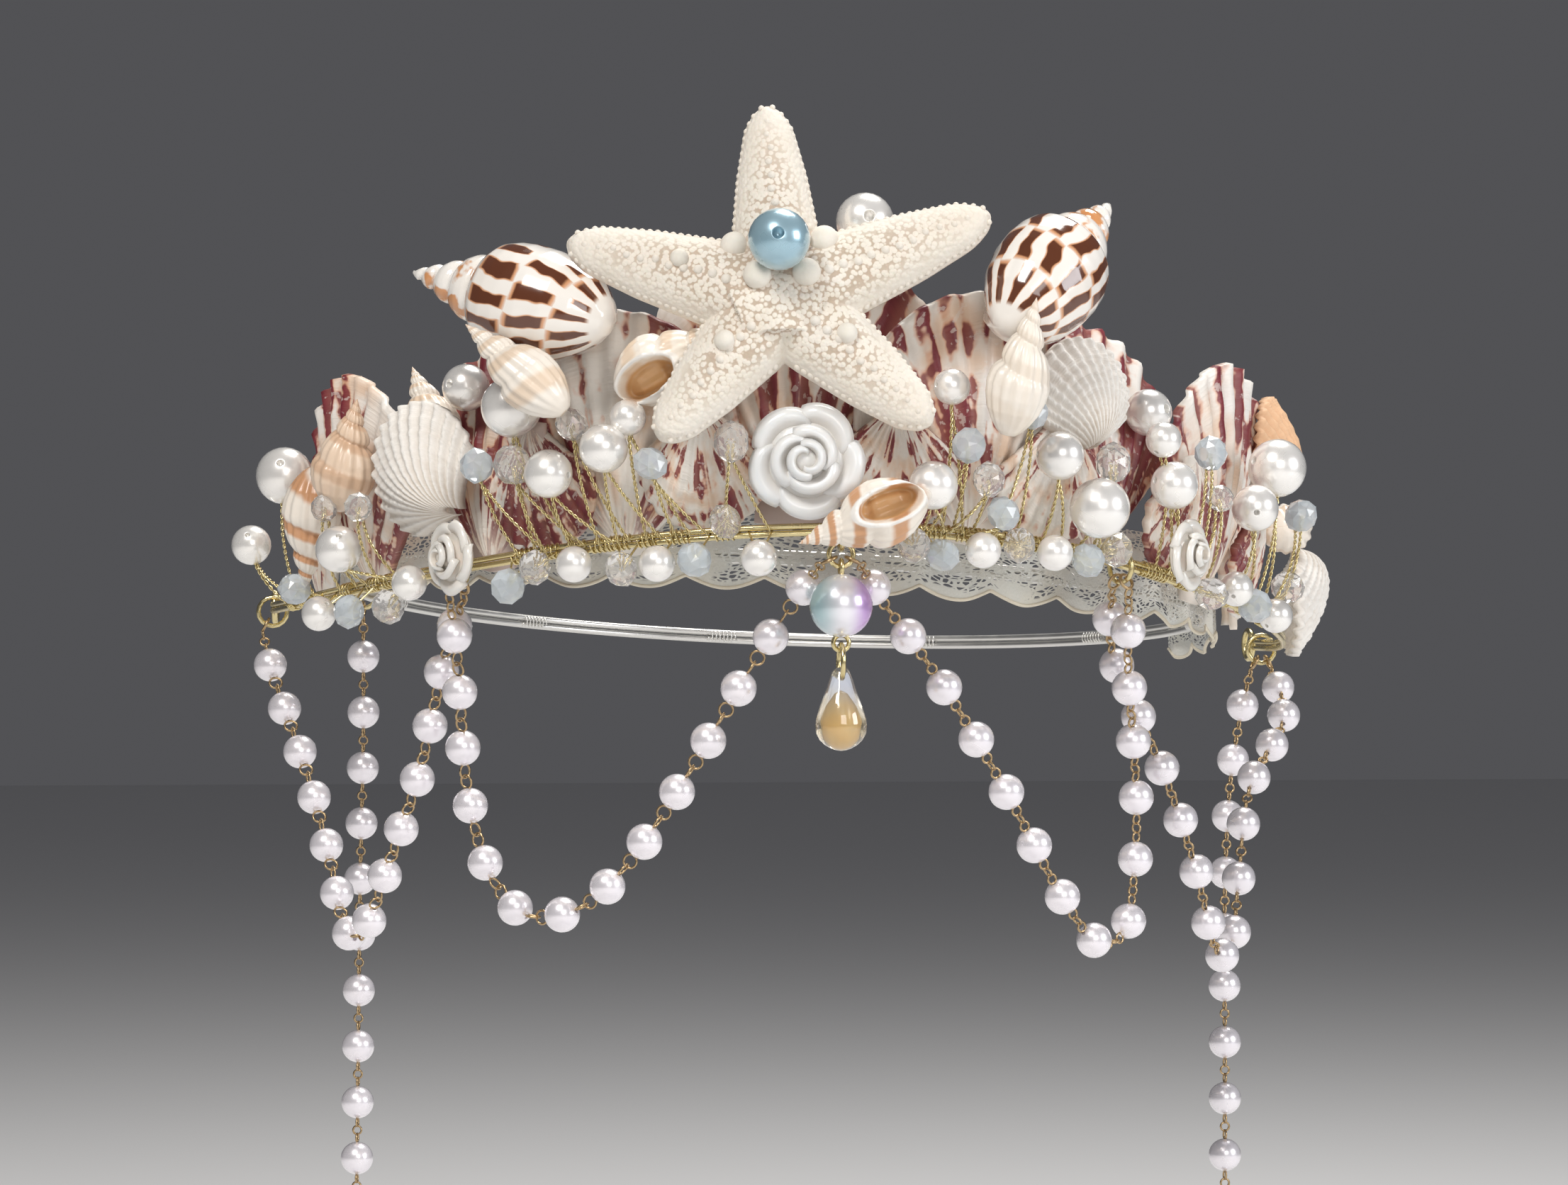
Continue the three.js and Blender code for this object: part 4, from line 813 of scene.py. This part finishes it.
opal = Look("opal_glass", (0.6, 0.72, 0.8), Roughness=0.05, Transmission_Weight=0.55, IOR=1.5)
opal.set("Base Color", opal.mix(opal.noise(320.0), (0.7, 0.79, 0.86), (0.86, 0.89, 0.9)))
stems = Form()
chance = np.random.default_rng(11)


def stem(angle, out, height, root):
    """Two thin wires twisted together, from the rail up to a bead."""
    base, top = oval(root, 15.6, float(rail_height(root))), oval(angle, out, height)
    bow = (base + top) / 2 + outward(angle) * 3 * MM
    t = np.linspace(0, 1, 20)[:, None]
    path = (1 - t) ** 2 * base + 2 * t * (1 - t) * bow + t ** 2 * top
    turns = max(np.linalg.norm(top - base) / (2.1 * MM), 1.5)
    for start in (0, np.pi):
        stems.sweep(helix(path, 0.17 * MM, turns, start, 9), 0.15 * MM, 5)


def set_bead(forms, kind, size, middle, facing):
    if kind == "pearl":
        forms[kind].bead(middle, size / 2 * MM, facing)
    else:
        forms[kind].stone(middle, size * 0.98 * MM, facing)


def tilt(angle):
    lean = chance.uniform(-0.6, 0.6, 3)
    return np.array([math.cos(heading(angle)), math.sin(heading(angle)), 0.35]) + lean


LOOKS = {"pearl": ivory, "clear": clear, "opal": opal}
for node, rows in SPRAYS.items():
    forms = {kind: Form() for kind in LOOKS}
    for kind, size, angle, out, height, root in rows:
        stem(angle, out, height, root)
        stem(angle, out - 1, height - size * 0.4, root + (4.5 if angle < 0 else 2.2))
        set_bead(forms, kind, size, oval(angle, out, height), tilt(angle))
    for kind, form in forms.items():
        if form.count:
            stands_for = [node] if kind == "pearl" else ()
            form.piece(node + "_" + kind, LOOKS[kind], "beads", stands_for, smooth=kind == "pearl")
forms = {kind: Form() for kind in LOOKS}
for kind, size, angle, out, height, root in SMALL_STONES:
    stem(angle, out, height, root)
    stem(angle, out - 1, height - size * 0.4, root + (3.2 if angle < 0 else -2.4))
    set_bead(forms, kind, size, oval(angle, out, height), tilt(angle))
for kind, angle, height in RAIL_ROW:
    set_bead(forms, kind, 6, oval(angle, 18.6, height), tilt(angle))
    tie = np.stack([oval(angle - 1.2, 14, float(rail_height(angle - 1.2))), oval(angle, 18.6, height),
                    oval(angle + 1.2, 14, float(rail_height(angle + 1.2)))])
    share = np.linspace(0, 2, 15)
    stems.sweep(np.stack([np.interp(share, range(3), tie[:, k]) for k in range(3)], -1), 0.2 * MM, 5)
for kind, form in forms.items():
    form.piece("rail_row_" + kind, LOOKS[kind], "beads", smooth=kind == "pearl")
stems.piece("stems", gold, "gold_wire")

# Jump rings: round gold wire, cut at one place. They hang over the rail and the hoop and carry the
# strands' end eyes.
RING_RADIUS, RING_WIRE, EYE_RADIUS, EYE_WIRE, GAP = 2.6, 0.45, 1.3, 0.4, 0.3
RINGS = {"ring_left": (-43.5, 14, 1.1), "ring_right": (31, 14, 1.1), "ring_end_left": (-93, 14, 1.1),
         "ring_end_right": (93, 14, 1.1), "ring_rear_left": (-107, 0, 1.5)}


def ring_middle(node):
    angle, out, wire = RINGS[node]
    height = float(rail_height(angle)) if out else float(hoop_height(angle))
    return oval(angle, out, height + wire + GAP + RING_WIRE - RING_RADIUS)


for node, (angle, out, wire) in RINGS.items():
    side = (math.cos(heading(angle)), math.sin(heading(angle)), 0)
    ring = Form().loop(ring_middle(node), side, RING_RADIUS * MM, RING_WIRE * MM)
    ring.piece(node + "_wire", gold, "gold_wire", [node])

# Pearl strands: round lilac-white pearls, each on its own pin of thin bronze wire whose two eyes
# interlock with the next ones. They hang in swags from the jump rings, with two long free ends.
HANGER = np.array([-2, -104, 11.85])


def eye_on_ring(node, splay):
    angle = RINGS[node][0]
    turn = math.radians(splay)
    away = math.cos(turn) * np.array([0, 0, -1]) + math.sin(turn) * outward(angle)
    along = math.cos(turn) * outward(angle) + math.sin(turn) * np.array([0, 0, 1])
    return eye_on_wire(ring_middle(node) + away * RING_RADIUS * MM, away, along)


def eye_on_wire(wire, away, along):
    middle = wire + away * (EYE_RADIUS - EYE_WIRE - RING_WIRE - GAP) * MM
    return middle, along, middle + away * EYE_RADIUS * MM


def eye_on_hanger(bearing):
    turn = math.radians(bearing)
    away = np.array([math.cos(turn), 0, math.sin(turn)])
    return eye_on_wire((HANGER + away * 2) * MM, away, np.array([-away[2], 0, away[0]]))


STRANDS = (
    ("swag_front_left", 14, eye_on_hanger(205), eye_on_ring("ring_left", 28),
     ((-5.2, 8, 6), (-11.4, 6, -8), (-18.5, 5, -25), (-26.5, 5, -41), (-32, 5, -47), (-38.5, 5, -48),
      (-43.5, 5, -42), (-46.5, 6, -28), (-44.5, 12, -6))),
    ("swag_front_right", 14, eye_on_hanger(335), eye_on_ring("ring_right", 28),
     ((3, 8, 6), (11, 6, -9), (19.5, 5, -27), (27.5, 5, -45), (33, 5, -53), (37.5, 5, -52), (39.5, 5, -42),
      (39, 6, -28), (33, 12.5, -6))),
    ("swag_side_left", 14, eye_on_ring("ring_left", -28), eye_on_ring("ring_end_left", 28),
     ((-49, 8, -6), (-54, 7, -25), (-60, 7, -41), (-66, 7, -53), (-70.5, 7, -53), (-76, 7, -42), (-82, 9, -27),
      (-90, 14, -9))),
    ("swag_side_right", 15, eye_on_ring("ring_right", -28), eye_on_ring("ring_end_right", 28),
     ((35.5, 5, -4), (45, 6, -26), (51, 7, -42), (57, 7, -56), (63, 7, -57), (68, 7, -45), (73, 8, -30),
      (84, 15, -17))),
    ("strand_long_left", 11, eye_on_ring("ring_rear_left", 0), None,
     ((-107, 0, -5), (-107, 0, -20), (-108, 1, -50), (-107, 1, -80), (-106, 1, -109))),
    ("strand_long_right", 10, eye_on_ring("ring_end_right", -28), None,
     ((95, 11, -17), (96, 9.5, -30), (96, 8.5, -50), (96, 8.5, -80), (96, 8.5, -109))),
)


def smooth_path(points, samples=40):
    """A centripetal curve through the points, with the running length up to each of its samples."""
    points = np.array(points)
    ends = np.concatenate([[2 * points[0] - points[1]], points, [2 * points[-1] - points[-2]]])
    made = []
    for p0, p1, p2, p3 in zip(ends, ends[1:], ends[2:], ends[3:]):
        knots = np.cumsum([0] + [np.linalg.norm(b - a) ** 0.5 for a, b in ((p0, p1), (p1, p2), (p2, p3))])
        t = np.linspace(knots[1], knots[2], samples, endpoint=False)[:, None]
        blend = lambda a, b, low, high: (high - t) / (high - low) * a + (t - low) / (high - low) * b
        legs = enumerate(((p0, p1), (p1, p2), (p2, p3)))
        a1, a2, a3 = (blend(a, b, knots[i], knots[i + 1]) for i, (a, b) in legs)
        b1, b2 = blend(a1, a2, knots[0], knots[2]), blend(a2, a3, knots[1], knots[3])
        made.append(blend(b1, b2, knots[1], knots[2]))
    path = np.concatenate(made + [points[-1:]])
    length = np.concatenate([[0], np.cumsum(np.linalg.norm(np.diff(path, axis=0), axis=1))])
    return path, length


bronze = Look("bronze_wire", (0.5, 0.36, 0.2), Metallic=1.0)
bronze.set("Roughness", 0.22 + 0.2 * bronze.noise(600.0))
for node, count, start, end, route in STRANDS:
    points = [start[2]] + [oval(*row) for row in route] + ([end[2]] if end else [])
    path, length = smooth_path(points)
    at = lambda s: np.stack([np.interp(s, length, path[:, k]) for k in range(3)], -1)
    lead = 7.5 * MM
    last = length[-1] - (lead if end else 0)
    stops = np.linspace(lead, last, count)
    pearls, links = Form(), Form()
    for stop in stops:
        along = at(min(stop + 0.5 * MM, length[-1])) - at(stop - 0.5 * MM)
        pearls.bead(at(stop), 3 * MM, along)
    edges = [0.0] + [s for stop in stops for s in (stop - 2.9 * MM, stop + 2.9 * MM)] + [length[-1]]
    for low, high in zip(edges[::2], edges[1::2]):
        if high - low < 0.4 * MM:
            continue
        pair = 2 if high - low < 4.5 * MM else 3
        radius = (high - low) / (2 * pair - 0.5)
        for k in range(pair):
            middle = low + radius + k * (high - low - 2 * radius) / max(pair - 1, 1)
            along = at(middle + 0.2 * MM) - at(middle - 0.2 * MM)
            level = np.cross(along, outward(math.degrees(math.atan2(at(middle)[0], -at(middle)[1]))))
            axis = level if k % 2 else np.cross(along, level)
            links.loop(at(middle), axis, radius * 0.95, 0.2 * MM)
    for made in (start, end):
        if made:
            links.loop(made[0], made[1], EYE_RADIUS * MM, EYE_WIRE * 0.7 * MM)
    pearls.piece(node + "_pearls", lilac, "pearl", [node])
    links.piece(node + "_links", bronze, "gold_wire")

# Pendant: a gold ring over the rail, a hanger ring across the front, a two-tone pearl with an eye at
# each end, and a coated glass drop on its own ring, which all hang free.
FRONT = np.array([-2, -104, 0])
SIDEWAYS, FORWARD, UP = (1, 0, 0), (0, 1, 0), np.array([0, 0, 1])
top_ring = Form().loop((FRONT + 15.25 * UP) * MM, SIDEWAYS, 2.6 * MM, 0.45 * MM)
top_ring.piece("ring_centre_wire", gold, "gold_wire", ["ring_centre"])
hanger = Form().loop(HANGER * MM, FORWARD, 2 * MM, 0.45 * MM)
hanger.piece("hanger_ring_wire", gold, "gold_wire", ["hanger_ring"])
two_tone = Look("two_tone", Metallic=0.4, Roughness=0.26, Coat_Weight=0.9, Coat_Roughness=0.05)
turned = two_tone.spot(0) + 0.18 * two_tone.noise(260.0, 2.0)
tone = two_tone.mix(two_tone.ramp(turned, -0.8, 0.1), (0.38, 0.55, 0.58), (0.88, 0.87, 0.92))
two_tone.set("Base Color", two_tone.mix(two_tone.ramp(turned, 0.15, 0.8), tone, (0.55, 0.34, 0.68)))
ball = Form().bead((FRONT + 3.6 * UP) * MM, 5.2 * MM)
ball.piece("pendant_pearl_ball", two_tone, "two_tone_pearl", ["pendant_pearl"], "pendant")
eyes = Form().loop((FRONT + 9.7 * UP) * MM, SIDEWAYS, 1.3 * MM, 0.4 * MM)
eyes.loop((FRONT - 2.5 * UP) * MM, FORWARD, 1.3 * MM, 0.4 * MM)
eyes.piece("pendant_eyes", gold, "gold_wire", body="pendant")
drop_ring = Form().loop((FRONT - 5.55 * UP) * MM, SIDEWAYS, 2.9 * MM, 0.45 * MM)
drop_ring.piece("drop_ring_wire", gold, "gold_wire", ["drop_ring"], "drop")
DROP = ((0, 0), (0.02, 1.1), (0.07, 1.5), (0.15, 1.9), (0.28, 2.5), (0.4, 3.1), (0.52, 3.7), (0.62, 4.12),
        (0.7, 4.25), (0.79, 4.1), (0.87, 3.5), (0.93, 2.65), (0.97, 1.7), (0.99, 0.9), (1, 0))
DROP_TOP, DROP_LENGTH = -8.65 + 2.3, 13.7


def lathe(rows, top, middle, sides=40):
    turn = np.linspace(0, 2 * np.pi, sides, endpoint=False)
    rings = np.array([[[r * math.cos(t), r * math.sin(t), top - share * DROP_LENGTH] for t in turn]
                      for share, r in rows])
    spots = np.array([[[share, r, 0.0]] * sides for share, r in rows])
    return Form().grid((rings + middle) * MM, spots, around=True)


drop_glass = Look("coated_glass", (0.97, 0.95, 0.92), Roughness=0.03, Transmission_Weight=0.9, IOR=1.5,
                  Coat_Weight=0.8)
tint = drop_glass.ramp(drop_glass.spot(0), 0.1, 0.75)
aurora = drop_glass.noise(150.0, 1.0)
warm = drop_glass.mix(tint, (0.8, 0.86, 0.98), (0.98, 0.86, 0.6))
drop_glass.set("Base Color", drop_glass.mix(drop_glass.ramp(aurora, 0.45, 0.65) * 0.5, warm, (0.75, 0.8, 0.98)))
drop = lathe(DROP, DROP_TOP, FRONT)
drop.piece("glass_drop_body", drop_glass, "coated_glass", ["glass_drop"], "drop")
core_look = Look("drop_core", (0.85, 0.5, 0.14), Roughness=0.25, Coat_Weight=0.5)
core_look.set("Base Color", core_look.mix(core_look.noise(300.0), (0.9, 0.55, 0.16), (0.8, 0.66, 0.4)))
CORE = ((0.3, 0), (0.34, 0.7), (0.5, 1.7), (0.66, 2.3), (0.8, 2.0), (0.9, 1.0), (0.93, 0))
core = lathe(CORE, DROP_TOP, FRONT, 24)
core.piece("glass_drop_core", core_look, "coated_glass", body="drop")
